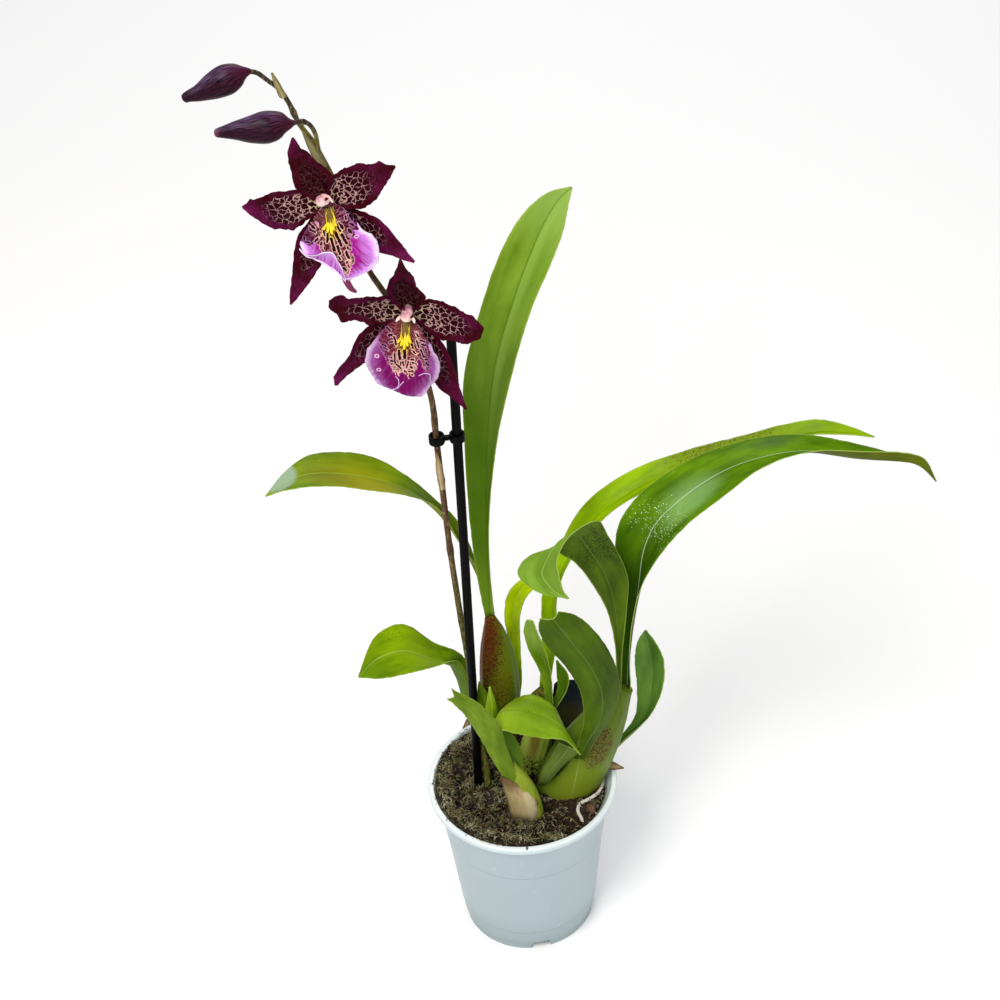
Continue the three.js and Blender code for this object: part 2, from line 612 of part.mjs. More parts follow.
// A bloom is built flat on to its face: x to its right, z to its top, y away from who looks at it
const BLOOMS = {
  upper_bloom: {
    place: [-79.6, -32, 565],
    roll: -14,
    tepals: [
      [
        [[-2, 0, 4], [2.5, 0, 4], 0], [[-7, -2, 9.5], [7, -2, 9.5], 1],
        [[-9.4, -5, 15.6], [9.5, -5, 15.6], 1.5], [[-8.9, -6, 23], [6.5, -6, 22], 1.5],
        [[-8, -7, 28.5], [3.5, -7, 27.7], 1], [[-6.8, -9, 33.5], [0.5, -9, 33.5], 0.5],
        [[-2.1, -12, 40.5], [-1.1, -12, 40.5], 0],
      ],
      [
        [[2, -1, 4], [2, -1, -0.5], 0], [[9.3, -2, 14.5], [6.9, -2, -1.3], 1],
        [[16.7, -2, 16.5], [16.6, -2, -5.7], 1.5], [[25, -2, 15.9], [24.3, -2, -3], 1.2],
        [[33, -2, 13.6], [31, -2, 2], 0.6], [[39.3, -1, 10.2], [39.3, -1, 9.2], 0],
      ],
      [
        [[-2, -1, -0.5], [-2, -1, 5], 0], [[-9.2, -2, -2.6], [-6, -2, 11.8], 1],
        [[-19, -2, -4.8], [-20.3, -2, 15.3], 1.5], [[-26, -2, -2], [-28.3, -2, 15.3], 1],
        [[-33, -2, 4.5], [-34, -2, 14.8], 0.5], [[-38.1, -1, 12.4], [-38.1, -1, 13.4], 0],
      ],
      [
        [[2.6, 0.8, 1.6], [0.4, 0.8, 0], 0], [[9, 0.5, -2.5], [6, 0.5, -12], 0.6],
        [[17, 1, -7.5], [11, 1, -21], 1], [[23, 1, -14], [15, 1, -27], 1],
        [[28.6, 1, -26], [19.5, 1, -31], 1], [[31, 0.5, -33.5], [27, 0.5, -36], 0.5],
        [[33.2, 0, -39], [32.6, 0, -40], 0],
      ],
      [
        [[0.6, 0.8, 0], [-1.4, 0.8, 1.8], 0], [[-4, 0.5, -14], [-9, 0.5, -3.5], 0.6],
        [[-8, 1, -23], [-17.5, 1, -9.5], 1], [[-13, 1, -28.5], [-23, 1, -19], 1],
        [[-19.6, 1, -33.6], [-26.5, 1, -27], 1], [[-26, 0.5, -38.3], [-30, 0.5, -34], 0.5],
        [[-32.4, 0, -42], [-33, 0, -41.4], 0],
      ],
    ],
    lip: [
      [[5, -4, 3.5], [1, -4, 4], 0], [[11.5, -6, -4], [-7.5, -6, -2.5], -2],
      [[14, -8, -11], [-13, -8, -7], -3], [[19, -9.5, -18], [-17, -6, -12.5], -4],
      [[19.5, -10, -26], [-14.5, -6, -19.5], -4], [[14, -9, -33], [-9, -8, -24.5], -3],
      [[5, -8.5, -35], [-4, -8.5, -30.5], -2], [[0, -8, -36.5], [-1.5, -8, -36], 0],
    ],
    tail: [
      [-1.4, -8.2, -33.5, 3, 2], [-0.9, -8.2, -37, 3.4, 2], [-0.2, -7.5, -40.5, 3, 1.6],
      [2, -8.5, -43, 1.4, 1.2],
    ],
    column: [
      [1.5, -1, 5, 4.6, 4.6], [1.8, -5, 6, 5.2, 5], [2, -9, 6.3, 5.6, 5.2], [2.1, -11.5, 6, 3, 3],
    ],
    callus: [[2.8, -6.5, 1, 3, 3], [1.8, -9.5, -5, 4.4, 2.6], [0.8, -11.5, -10.5, 3, 2]],
  },
  lower_bloom: {
    place: [-44.7, -26, 493.7],
    roll: 6,
    tepals: [
      [
        [[-2, 0, 3], [2, 0, 3], 0], [[-8, -2, 9], [7, -2, 8], 1], [[-11, -5, 15.5], [9, -5, 13], 1.5],
        [[-9.7, -6, 20.7], [4.6, -6, 17.6], 1.5], [[-8, -8, 24.5], [3, -8, 23], 1],
        [[-6.2, -10, 29], [-1, -10, 28.5], 0.5], [[-4.9, -12, 34.7], [-4.1, -12, 34.7], 0],
      ],
      [
        [[2, -1, 4], [2, -1, 0], 0], [[9.5, -2, 10.3], [7, -2, -3.8], 1],
        [[19.5, -2, 8.8], [17.3, -2, -10.8], 1.5], [[26.4, -2, 5.5], [25.6, -2, -11.8], 1.5],
        [[34, -2, 1.5], [32, -2, -12.3], 1], [[37.6, -1.5, -1.8], [36.4, -1.5, -10.7], 0.5],
        [[39.4, -1, -4], [39, -1, -5.6], 0],
      ],
      [
        [[-2, -1, 0], [-2, -1, 4], 0], [[-11.7, -2, -3.9], [-9, -2, 11.2], 1],
        [[-18, -2, -4.4], [-17, -2, 11], 1.4], [[-27, -2, -2.4], [-25, -2, 10], 1.3],
        [[-33, -2, -3.2], [-32, -2, 10], 0.8], [[-36.5, -1.5, 0.5], [-36, -1.5, 10.6], 0.4],
        [[-40.4, -1, 4], [-40, -1, 7.8], 0],
      ],
      [
        [[2.6, 0.8, 1.6], [0.4, 0.8, 0], 0], [[11, 0.5, -6], [7, 0.5, -14], 0.6],
        [[17.9, 1, -12.6], [11, 1, -25], 1], [[23.7, 1, -24.3], [14, 1, -33], 1],
        [[27.3, 1, -34.5], [18, 1, -39.5], 1], [[30, 0.5, -43], [24.5, 0.5, -43.8], 0.5],
        [[32.6, 0, -49.6], [31.8, 0, -50.2], 0],
      ],
      [
        [[0.6, 0.8, 0], [-1.4, 0.8, 1.8], 0], [[-8, 0.5, -15], [-11, 0.5, -1.5], 0.6],
        [[-14, 1, -22], [-19.4, 1, -5.6], 1], [[-21, 1, -26.7], [-26, 1, -13.7], 1],
        [[-28, 1, -31.5], [-29.5, 1, -23], 1], [[-34.5, 0.5, -38.5], [-35, 0.5, -30.5], 0.5],
        [[-36.5, 0, -39.2], [-37.3, 0, -34], 0],
      ],
    ],
    lip: [
      [[2.5, -4, 2], [-3.5, -4, 2], 0], [[8, -6, -5.5], [-11, -6, -3.5], -1.5],
      [[13, -8, -13], [-16.5, -8, -10], -2], [[17, -9, -20], [-20.5, -9, -17], -2.5],
      [[17, -9, -27], [-19.5, -9, -25.5], -2.5], [[13, -8.5, -34.5], [-15.5, -8.5, -32], -2],
      [[8, -8, -40], [-9, -8, -36.2], -1.5], [[2, -8, -41], [-4, -8, -37], -1],
    ],
    column: [
      [0, -1, 5, 4.6, 4.6], [-0.1, -5, 5.6, 5.2, 5], [-0.2, -9, 5.2, 5.8, 5.4], [-0.3, -11.5, 4.4, 3, 3],
    ],
    callus: [[-0.6, -6.5, -1, 3, 3], [-0.8, -9.5, -7, 4.4, 2.6], [-1.1, -11.2, -13.5, 3, 2]],
  },
};

function tepal(rows, grow = 0) {
  return blade({ rows, steps: 10, thickness: PETAL_THICKNESS, wave: 0.7, waves: 3, fold: 1.8, grow });
}

function hub(grow = 0) {
  const ball = new THREE.SphereGeometry(HUB_RADIUS + grow, 8, 6);
  ball.translate(0.5, 1, 2);
  return ball;
}

function makeBloom(name) {
  const { place, roll, tepals, lip, tail, column, callus } = BLOOMS[name];
  const bloom = new THREE.Group();
  bloom.position.copy(vec(place));
  bloom.rotation.set(THREE.MathUtils.degToRad(-BLOOM_TILT), THREE.MathUtils.degToRad(roll), 0);
  group.add(bloom);
  const lipShape = (grow) => blade({
    rows: lip, steps: 12, across: 6, thickness: PETAL_THICKNESS, wave: 0.8, fold: 1.8, grow,
  });
  const columnShape = (grow) => stalk(column, { sides: 8, steps: 5, grow });
  const lipSolid = tail ? join(lipShape(0), stalk(tail, { sides: 6, steps: 4 })) : lipShape(0);
  const behind = [hub(GAP), ...tepals.map((rows) => tepal(rows, GAP))];
  const callusShape = stalk(callus, { sides: 6, steps: 5 });
  add(`${name}_tepals`, join(hub(), ...tepals.map((rows) => tepal(rows))), COLOURS.maroon, bloom);
  add(`${name}_lip`, cut(lipSolid, ...behind), COLOURS.magenta, bloom);
  add(`${name}_column`, cut(columnShape(0), lipShape(GAP), ...behind), COLOURS.blush, bloom);
  add(`${name}_callus`, cut(callusShape, lipShape(GAP), columnShape(GAP)), COLOURS.yellow, bloom);
  return bloom;
}

// The flower spike with a stalk to each bloom and bud, and the dry bracts on it
function toWorld(bloom, p) {
  bloom.updateMatrixWorld(true);
  return vec(p).applyMatrix4(bloom.matrixWorld).toArray();
}

const SPIKE = [
  [-22, 3.5, 98, 4], [-22.4, 7.8, 119, 4], [-24.5, 11.8, 139, 4], [-27, 15, 175, 3.9],
  [-29, 14.5, 214, 3.8], [-31.5, 13, 253, 3.7], [-34, 10, 303, 3.6], [-35.5, 7, 355, 3.6],
  [-36.4, 5, 389, 3.5], [-37, 3, 418, 3.4], [-41, 1, 443, 3.3], [-48, -2, 469, 3.2], [-55, -4, 491, 3.2],
  [-63, -6, 510, 3.1], [-69, -8, 536, 3], [-75, -9, 564, 2.9], [-80, -10, 580, 2.8],
  [-84, -11, 591, 2.6], [-89, -12, 601, 2.5], [-93, -13, 614, 2.4], [-96, -14, 621, 2.4],
  [-101, -17, 628, 2.3], [-105, -20.5, 634, 2.3], [-108.3, -23.6, 636.8, 2.4],
];
const BUD_STALK = [
  [-79, -10, 575, 2.2], [-81, -14, 587, 2.3], [-81.5, -18, 599, 2.3], [-84, -22, 606.5, 2.3],
  [-87.5, -26, 610, 2.4], [-90.8, -29.4, 611.2, 2.6],
];
const BUDS = {
  bud_top: [
    [-109.7, -24.4, 637, 4, 4], [-113, -25, 636.5, 11, 10], [-119, -26, 634.7, 15, 14],
    [-126, -27, 632, 13.5, 12], [-133, -28.5, 629.8, 8.5, 8], [-138, -29.5, 629, 5, 4.5],
    [-141.5, -30, 628.8, 2, 2],
  ],
  bud_lower: [
    [-91.6, -30, 611.6, 5, 5], [-95, -30.8, 612, 12, 11], [-102, -32, 612, 16, 15],
    [-110, -33, 612, 13.5, 12.5], [-118, -33.5, 611.5, 9.5, 9], [-124, -34, 611, 6, 5.5],
    [-129, -34, 610.5, 2, 2],
  ],
};
const BRACTS = {
  bract_at_clip: [
    [[-37, 5.5, 354], [-33.5, 4.5, 354], -1.8], [[-38, 4.5, 368], [-34, 3.5, 368], -1.6],
    [[-37.2, 2.2, 383], [-36.4, 2, 383], 0],
  ],
  bract_at_bud_stalk: [
    [[-82, -13, 576], [-77.5, -13.5, 577], -1.5], [[-86, -14.5, 589], [-82, -15, 590], -1.4],
    [[-88, -15.5, 599], [-87, -15.7, 599], 0],
  ],
  bract_at_top_bud: [
    [[-96.5, -16, 618], [-93, -15.5, 618], -1.2], [[-98, -17.5, 625], [-95.5, -16.5, 626], -1],
    [[-99, -17.5, 632], [-98, -17.2, 632], 0],
  ],
};

function bloomStalk(bloom, from) {
  const end = toWorld(bloom, [0.5, 1.3 + HUB_RADIUS + GAP, 2]);
  const back = toWorld(bloom, [0.3, 13, -2]);
  return stalk([[...from, 2.4], [...back, 2.6], [...end, 3]], { sides: 6, steps: 6 });
}

function spikeSolid(blooms, grow = 0) {
  const main = stalk(SPIKE, { sides: 6, steps: 40, grow });
  const budStalk = stalk(BUD_STALK, { sides: 6, steps: 10, grow });
  if (grow > 0) return join(main, budStalk);
  const upper = bloomStalk(blooms.upper_bloom, [-70, -8, 541]);
  const lower = bloomStalk(blooms.lower_bloom, [-48.5, -2, 471]);
  return join(main, budStalk, upper, lower);
}

// The white root that lies on the mix, and the blank tag
const ROOT = [
  [48, 10, 106.5, 2.2], [50.6, 5, 109, 2.2], [50.6, -3, 110, 2.2], [46.5, -10.5, 109.8, 2.2],
  [40, -14.5, 109, 2.2], [35, -17.5, 108.8, 2.2], [33.5, -23, 108.8, 2.2], [35.5, -30, 108.6, 2.2],
  [36.5, -34, 107, 1.8],
];

function rootSolid(grow = 0) {
  return stalk(ROOT, { sides: 6, steps: 16, grow });
}

function tagSolid(grow = 0) {
  const half = TAG_WIDTH / 2 + grow;
  const stem = TAG_STEM / 2 + grow;
  const outline = new THREE.Shape();
  outline.moveTo(-stem, -38 - grow);
  outline.lineTo(stem, -38 - grow);
  outline.lineTo(stem, -10);
  outline.lineTo(half, 4);
  outline.lineTo(half, 34);
  outline.lineTo(half - 3, 38 + grow);
  outline.lineTo(3 - half, 38 + grow);
  outline.lineTo(-half, 34);
  outline.lineTo(-half, 4);
  outline.lineTo(-stem, -10);
  const depth = TAG_THICKNESS + 2 * grow;
  const plate = new THREE.ExtrudeGeometry(outline, { depth, bevelEnabled: false });
  plate.rotateX(Math.PI / 2);
  plate.rotateY(THREE.MathUtils.degToRad(6));
  plate.translate(31, 37.4 + grow, 127);
  return plate;
}

// Everything is placed from the mix upwards, and a base is cut back from what it stands on
const leafSolid = (name, grow) => blade({ ...LEAVES[name], grow });
const grown = Object.fromEntries(Object.keys(BULBS).map((name) => [name, bulb(name, GAP)]));
const spikeFoot = stalk(SPIKE.slice(0, 4), { sides: 8, steps: 6, grow: GAP });
const inMix = ['leaf_left_lower', 'leaf_back_yellow', 'sheath_left'];
const lowLeaves = inMix.map((name) => leafSolid(name, GAP));
const scraps = Object.keys(DRY).map((name) => dryPiece(name, GAP));
const holes = [makeStake(GAP), rootSolid(GAP), tagSolid(GAP), spikeFoot, ...Object.values(grown)];

add('pot', makePot(), COLOURS.pot, group, 0.35);
add('potting_mix', cut(makeMix(), ...holes, ...scraps, ...lowLeaves), COLOURS.mix, group, 0.95);
add('stake', makeStake(), COLOURS.black, group, 0.35);
add('stem_clip', makeClip(), COLOURS.black, group, 0.35);
add('plant_tag', tagSolid(), COLOURS.black, group, 0.5);
add('aerial_root', rootSolid(), COLOURS.root);
Object.keys(BULBS).forEach((name) => add(name, bulb(name), BULBS[name].colour));

Object.entries(DRY).forEach(([name, dry]) => {
  const beside = dry.clear.map((other) => grown[other]);
  add(name, cut(dryPiece(name), ...beside), dry.colour);
});

Object.entries(LEAVES).forEach(([name, leaf]) => {
  const base = leaf.on.map((other) => grown[other]);
  const past = (leaf.past ?? []).map((other) => (DRY[other] ? dryPiece : leafSolid)(other, GAP));
  add(name, cut(leafSolid(name, 0), ...base, ...past), leaf.colour);
});

const blooms = Object.fromEntries(Object.keys(BLOOMS).map((name) => [name, makeBloom(name)]));
const thickSpike = spikeSolid(blooms, GAP);
add('flower_spike', spikeSolid(blooms), COLOURS.stem);
Object.entries(BUDS).forEach(([name, stations]) => {
  add(name, stalk(stations, { sides: 8, steps: 10 }), COLOURS.maroon);
});
Object.entries(BRACTS).forEach(([name, rows]) => {
  add(name, cut(blade({ rows, steps: 6, across: 4, thickness: 0.7 }), thickSpike), COLOURS.husk);
});

export default group;
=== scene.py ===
import math
import random

import bmesh
import bpy
from mathutils import Matrix, Vector, noise


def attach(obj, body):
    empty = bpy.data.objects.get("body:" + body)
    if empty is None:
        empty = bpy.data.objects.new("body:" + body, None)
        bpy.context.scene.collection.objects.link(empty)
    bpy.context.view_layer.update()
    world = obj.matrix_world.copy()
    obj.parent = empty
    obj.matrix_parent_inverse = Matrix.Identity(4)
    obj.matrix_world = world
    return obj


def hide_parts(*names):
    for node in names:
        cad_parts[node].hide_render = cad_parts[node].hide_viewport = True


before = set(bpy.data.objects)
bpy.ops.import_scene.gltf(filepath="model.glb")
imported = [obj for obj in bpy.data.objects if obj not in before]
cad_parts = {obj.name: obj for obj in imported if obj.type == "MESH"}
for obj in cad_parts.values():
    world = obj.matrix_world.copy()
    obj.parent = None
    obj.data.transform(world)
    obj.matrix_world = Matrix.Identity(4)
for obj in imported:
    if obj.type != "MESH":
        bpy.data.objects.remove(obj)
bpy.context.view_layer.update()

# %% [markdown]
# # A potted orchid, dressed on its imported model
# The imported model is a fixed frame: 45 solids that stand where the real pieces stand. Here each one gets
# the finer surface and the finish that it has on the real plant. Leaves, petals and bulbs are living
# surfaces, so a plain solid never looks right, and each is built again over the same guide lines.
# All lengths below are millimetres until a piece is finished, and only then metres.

MM = 0.001

# %% [markdown]
# ## The camera
# The photographer stood and looked down on the plant by about forty degrees, with the camera turned a
# little. A camera is placed by three directions: to its right, up, and back from what it looks at. These
# were found from the pot, whose rim and foot are circles of known size.

# %% The camera
LOOK_DOWN = math.radians(39.73)
TURN = math.radians(-3.54)
DISTANCE = 1200
AIM = Vector((-3.3, 0, 346.9))
FOCAL_PIXELS, PICTURE_PIXELS, SENSOR = 2125.5, 1000, 36

back = Vector((0, -math.cos(LOOK_DOWN), math.sin(LOOK_DOWN)))
right = Vector((1, 0, 0))
up = back.cross(right)
turned_right = math.cos(TURN) * right + math.sin(TURN) * up
turned_up = -math.sin(TURN) * right + math.cos(TURN) * up

camera = bpy.data.objects.new("camera", bpy.data.cameras.new("camera"))
bpy.context.scene.collection.objects.link(camera)
bpy.context.scene.camera = camera
axes = Matrix((turned_right, turned_up, back)).transposed().to_4x4()
camera.matrix_world = Matrix.Translation((AIM + back * DISTANCE) * MM) @ axes
camera.data.sensor_fit = "HORIZONTAL"
camera.data.sensor_width = SENSOR
camera.data.lens = SENSOR * FOCAL_PIXELS / PICTURE_PIXELS
camera.data.clip_end = 50
print("camera at", [round(v) for v in (AIM + back * DISTANCE)], "lens", round(camera.data.lens, 1))

# %% [markdown]
# ## Light and floor
# The plant was photographed under a bright even sky. A pale surrounding light stands for the sky. One
# large soft lamp gives the leaves their shine, one lights the blooms from the front, one fills the shade,
# and one stands behind. The floor is plain and pale, so the colours of the leaves stay true.


# %% Light and floor
def linear(code):
    """A colour written as sRGB hex, as the renderer wants it."""
    channels = [int(code[i:i + 2], 16) / 255 for i in (0, 2, 4)]
    return (*[c / 12.92 if c <= 0.04045 else ((c + 0.055) / 1.055) ** 2.4 for c in channels], 1)


def add(mat, kind, links=None, out=0, **settings):
    """Adds one shader node with its settings, feeds its inputs, and returns one of its outputs, or all."""
    made = mat.node_tree.nodes.new("ShaderNode" + kind)
    for name, value in settings.items():
        setattr(made, name, value)
    for key, value in (links or {}).items():
        if isinstance(value, bpy.types.NodeSocket):
            mat.node_tree.links.new(value, made.inputs[key])
        else:
            made.inputs[key].default_value = value
    return made.outputs if out is None else made.outputs[out]


def blended(mat, share, colour, tone):
    """The colour, turned to the tone by the share. Each is a pattern's colour or sRGB hex."""
    first, second = [linear(c) if isinstance(c, str) else c for c in (colour, tone)]
    return add(mat, "Mix", {0: share, 6: first, 7: second}, out=2, data_type="RGBA")


def material(name, **finish):
    """A new material with its plain values set."""
    mat = bpy.data.materials.new(name)
    mat.use_nodes = True
    shader = mat.node_tree.nodes["Principled BSDF"]
    for key, value in finish.items():
        shader.inputs[key.replace("_", " ")].default_value = value
    return mat


def dress(mat, colour=None, rough=None, height=None, depth=0.3, strength=0.5):
    """Feeds the surface shader with a pattern's colour, roughness and height, whose depth is in mm."""
    shader = mat.node_tree.nodes["Principled BSDF"]
    if height is not None:
        bump = add(mat, "Bump", {"Height": height, "Distance": depth * MM, "Strength": strength})
        mat.node_tree.links.new(bump, shader.inputs["Normal"])
    if colour is not None:
        mat.node_tree.links.new(colour, shader.inputs["Base Color"])
    if rough is not None:
        mat.node_tree.links.new(rough, shader.inputs["Roughness"])
    return mat


def speckled(name, low, high, scale, detail=2, depth=None, strength=0.5, **finish):
    """A material whose colour runs between two tones with a fine grain, and its relief too if it has a depth."""
    mat = material(name, **finish)
    grain = add(mat, "TexNoise", {"Vector": add(mat, "TexCoord", out="Object"), "Scale": scale, "Detail": detail})
    return dress(mat, blended(mat, grain, low, high), None, grain if depth else None, depth or 0, strength)


world = bpy.data.worlds.new("sky")
world.use_nodes = True
world.node_tree.nodes["Background"].inputs["Color"].default_value = linear("fdfdff")
world.node_tree.nodes["Background"].inputs["Strength"].default_value = 0.42
bpy.context.scene.world = world
bpy.context.scene.view_settings.view_transform = "Standard"
bpy.context.scene.view_settings.look = "None"

LAMPS = {  # place in metres, width in metres, power in watts, colour
    "main_lamp": ((-0.5, -0.8, 1.7), 0.7, 23, "fffcf6"),
    "front_lamp": ((-0.1, -1.6, 1.0), 0.6, 7, "ffffff"),
    "fill_lamp": ((1.4, -0.9, 0.9), 1.4, 4, "f8faff"),
    "back_lamp": ((0.2, 2.1, 1.9), 1.4, 22, "ffffff"),
}
LAMP_AIM = Vector((0, 0, 0.32))
for name, (place, width, power, tone) in LAMPS.items():
    lamp = bpy.data.lights.new(name, "AREA")
    lamp.shape = "SQUARE"
    lamp.size = width
    lamp.energy = power
    lamp.color = linear(tone)[:3]
    holder = bpy.data.objects.new(name, lamp)
    holder.location = place
    holder.rotation_euler = (LAMP_AIM - Vector(place)).to_track_quat("-Z", "Y").to_euler()
    bpy.context.scene.collection.objects.link(holder)

floor_shape = bmesh.new()
bmesh.ops.create_grid(floor_shape, x_segments=1, y_segments=1, size=6)
floor_mesh = bpy.data.meshes.new("floor")
floor_shape.to_mesh(floor_mesh)
floor_shape.free()
floor = bpy.data.objects.new("floor", floor_mesh)
bpy.context.scene.collection.objects.link(floor)
floor_mesh.materials.append(speckled("matt_paper_floor", "fbfbfb", "ffffff", 1.5, Roughness=0.9))
print("lamps", list(LAMPS), "floor at", floor.location.z)

# %% [markdown]
# ## Guide lines
# Every leaf and petal here lies between two margins, and every bulb and stalk runs along a line of
# stations. A few given points are joined by a smooth curve that passes through all of them. A flat
# grid, or a grid rolled into a tube, is then laid on these curves, which keeps its faces even and gives it
# a UV map that runs from the base to the tip.


# %% Smooth curves through a few points
def spline(points, t):
    """A point on the smooth curve through all the points, with t from 0 to 1."""
    last = len(points) - 1
    i = min(int(t * last), last - 1)
    w = t * last - i
    b, c = points[i], points[i + 1]
    a = points[i - 1] if i > 0 else 2 * b - c
    d = points[i + 2] if i + 2 <= last else 2 * c - b
    g1 = math.sqrt((c - b).length) or 1
    g0 = math.sqrt((b - a).length) or g1
    g2 = math.sqrt((d - c).length) or g1
    m1 = ((b - a) / g0 - (c - a) / (g0 + g1) + (c - b) / g1) * g1
    m2 = ((c - b) / g1 - (d - b) / (g1 + g2) + (d - c) / g2) * g1
    return b + m1 * w + (3 * (c - b) - 2 * m1 - m2) * w ** 2 + (2 * (b - c) + m1 + m2) * w ** 3


def flow(values, t):
    """A value that runs smoothly through a list, evenly spaced."""
    last = len(values) - 1
    i = min(int(t * last), last - 1)
    w = t * last - i
    a, b, c, d = (values[min(max(i + k, 0), last)] for k in (-1, 0, 1, 2))
    m1, m2 = (c - a) / 2, (d - b) / 2
    return b + m1 * w + (3 * (c - b) - 2 * m1 - m2) * w ** 2 + (2 * (b - c) + m1 + m2) * w ** 3


def step(low, high, value):
    """0 below low, 1 above high, and smooth between."""
    t = min(max((value - low) / (high - low), 0), 1)
    return t * t * (3 - 2 * t)


# %% [markdown]
# ## A leaf or petal between its margins
# The blade is folded along its middle: the fold is deepest at the midrib and dies out at the margins.
# Each corner of the grid keeps where it lies on the blade, in real millimetres: how far from the midrib,
# how far from the base, and how far from the margin. The finishes read that, so veins stay the same
# distance apart on a broad leaf and a narrow one. A Solidify modifier then gives the thickness, thick at
# the midrib and thin at the margin, with one finish for each side and one for the cut edge.


# %% Blades
def blade(rows, steps=56, across=16, wave=0.0, waves=5, notch=0.0, fold=1.5, groove=0.0, tooth=0.0,
          seed=0, bend=None):
    """A grid laid between two margins. Each row is [left margin, right margin, depth of the fold]."""
    left = [Vector(row[0]) for row in rows]
    right = [Vector(row[1]) for row in rows]
    folds = [row[2] for row in rows]

    def middle(t):
        t = min(max(t, 0), 1)
        return (spline(left, t) + spline(right, t)) / 2

    stations = []
    length = 0
    for i in range(steps + 1):
        s = i / steps
        near = min(s, 0.94)
        chord = (spline(right, near) - spline(left, near)).normalized()
        run = (middle(s + 0.01) - middle(s - 0.01)).normalized()
        half = max((spline(left, s) - spline(right, s)).length / 2, 0.15)
        if i:
            length += (middle(s) - middle(s - 1 / steps)).length
        stations.append((middle(s), chord, run, chord.cross(run).normalized(), half, flow(folds, s), length))
    shape = bmesh.new()
    shape.loops.layers.uv.new("UVMap")
    bmesh.ops.create_grid(shape, x_segments=across, y_segments=steps, size=1, calc_uvs=True)
    kept = shape.verts.layers.float_vector.new("blade")
    shape.verts.layers.deform.verify()
    weight = shape.verts.layers.deform.active
    for corner in shape.verts:
        i = round((corner.co.y + 1) / 2 * steps)
        s = i / steps
        v = math.copysign(abs(corner.co.x) ** 1.15, corner.co.x)
        centre, chord, run, face, half, depth, so_far = stations[i]
        ripple = wave * math.sin(s * waves * 2 * math.pi + (1.3 if v > 0 else 0)) * abs(v) ** 3
        ripple *= min(1, half / 4)
        dip = notch * max(0, s - 0.8) * 5 * (1 - abs(v))
        rib = groove * math.exp(-(v * half / 1.1) ** 2) * min(1, half / 5)
        side = 1 if v > 0 else -1
        frill = noise.noise(Vector((so_far * 0.33, side * 9 + seed, seed * 3.1)))
        frill += 0.45 * noise.noise(Vector((so_far * 0.75, side * 5 - seed, seed * 1.7)))
        frill *= tooth * abs(v) ** 5 * min(1, half / 4)
        ripple += 0.9 * tooth * abs(v) ** 4 * min(1, half / 4) * noise.noise(
            Vector((so_far * 0.24, side * 3 + seed, 4.2)))
        out = v * half + side * frill
        place = centre + chord * out - run * dip
        place += face * (ripple - depth * (1 - abs(v) ** fold) - rib)
        if bend:
            place += bend(s, v, half, chord, run, face)
        corner.co = place
        corner[kept] = (v * half, so_far, half * (1 - abs(v)))
        corner[weight][0] = 1 - 0.75 * abs(v) ** 2
    return shape


def finish_piece(name, shapes, mats, nodes, thickness=None, place=None, thin=0.35):
    """Joins the shapes, brings them to metres, and makes the object that stands for the CAD nodes."""
    whole = bpy.data.meshes.new(name)
    joined = bmesh.new()
    for shape in shapes:
        part = bpy.data.meshes.new("part")
        shape.to_mesh(part)
        shape.free()
        joined.from_mesh(part)
        bpy.data.meshes.remove(part)
    if place:
        joined.transform(place)
    joined.transform(Matrix.Scale(MM, 4))
    joined.to_mesh(whole)
    joined.free()
    for mat in mats:
        whole.materials.append(mat)
    whole.polygons.foreach_set("use_smooth", [True] * len(whole.polygons))
    made = bpy.data.objects.new(name, whole)
    bpy.context.scene.collection.objects.link(made)
    if thickness:
        made.vertex_groups.new(name="body")
        shell = made.modifiers.new("thickness", "SOLIDIFY")
        shell.thickness = thickness * MM
        shell.offset = 0
        shell.vertex_group = "body"
        shell.thickness_vertex_group = thin
        if len(mats) > 1:
            shell.material_offset = 1
        if len(mats) > 2:
            shell.material_offset_rim = 2
    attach(made, "root")
    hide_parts(*nodes)
    print(name, "has", len(whole.polygons), "faces")
    return made


# %% [markdown]
# ## A bulb or stalk along its stations
# The same grid, rolled into a tube: its two long edges meet and are merged, and its ends are closed. Each
# station gives a place, a width and a depth, and a round end comes from letting the width fall away like a
# circle does. A piece may add its own relief, such as ribs or a swollen ring.


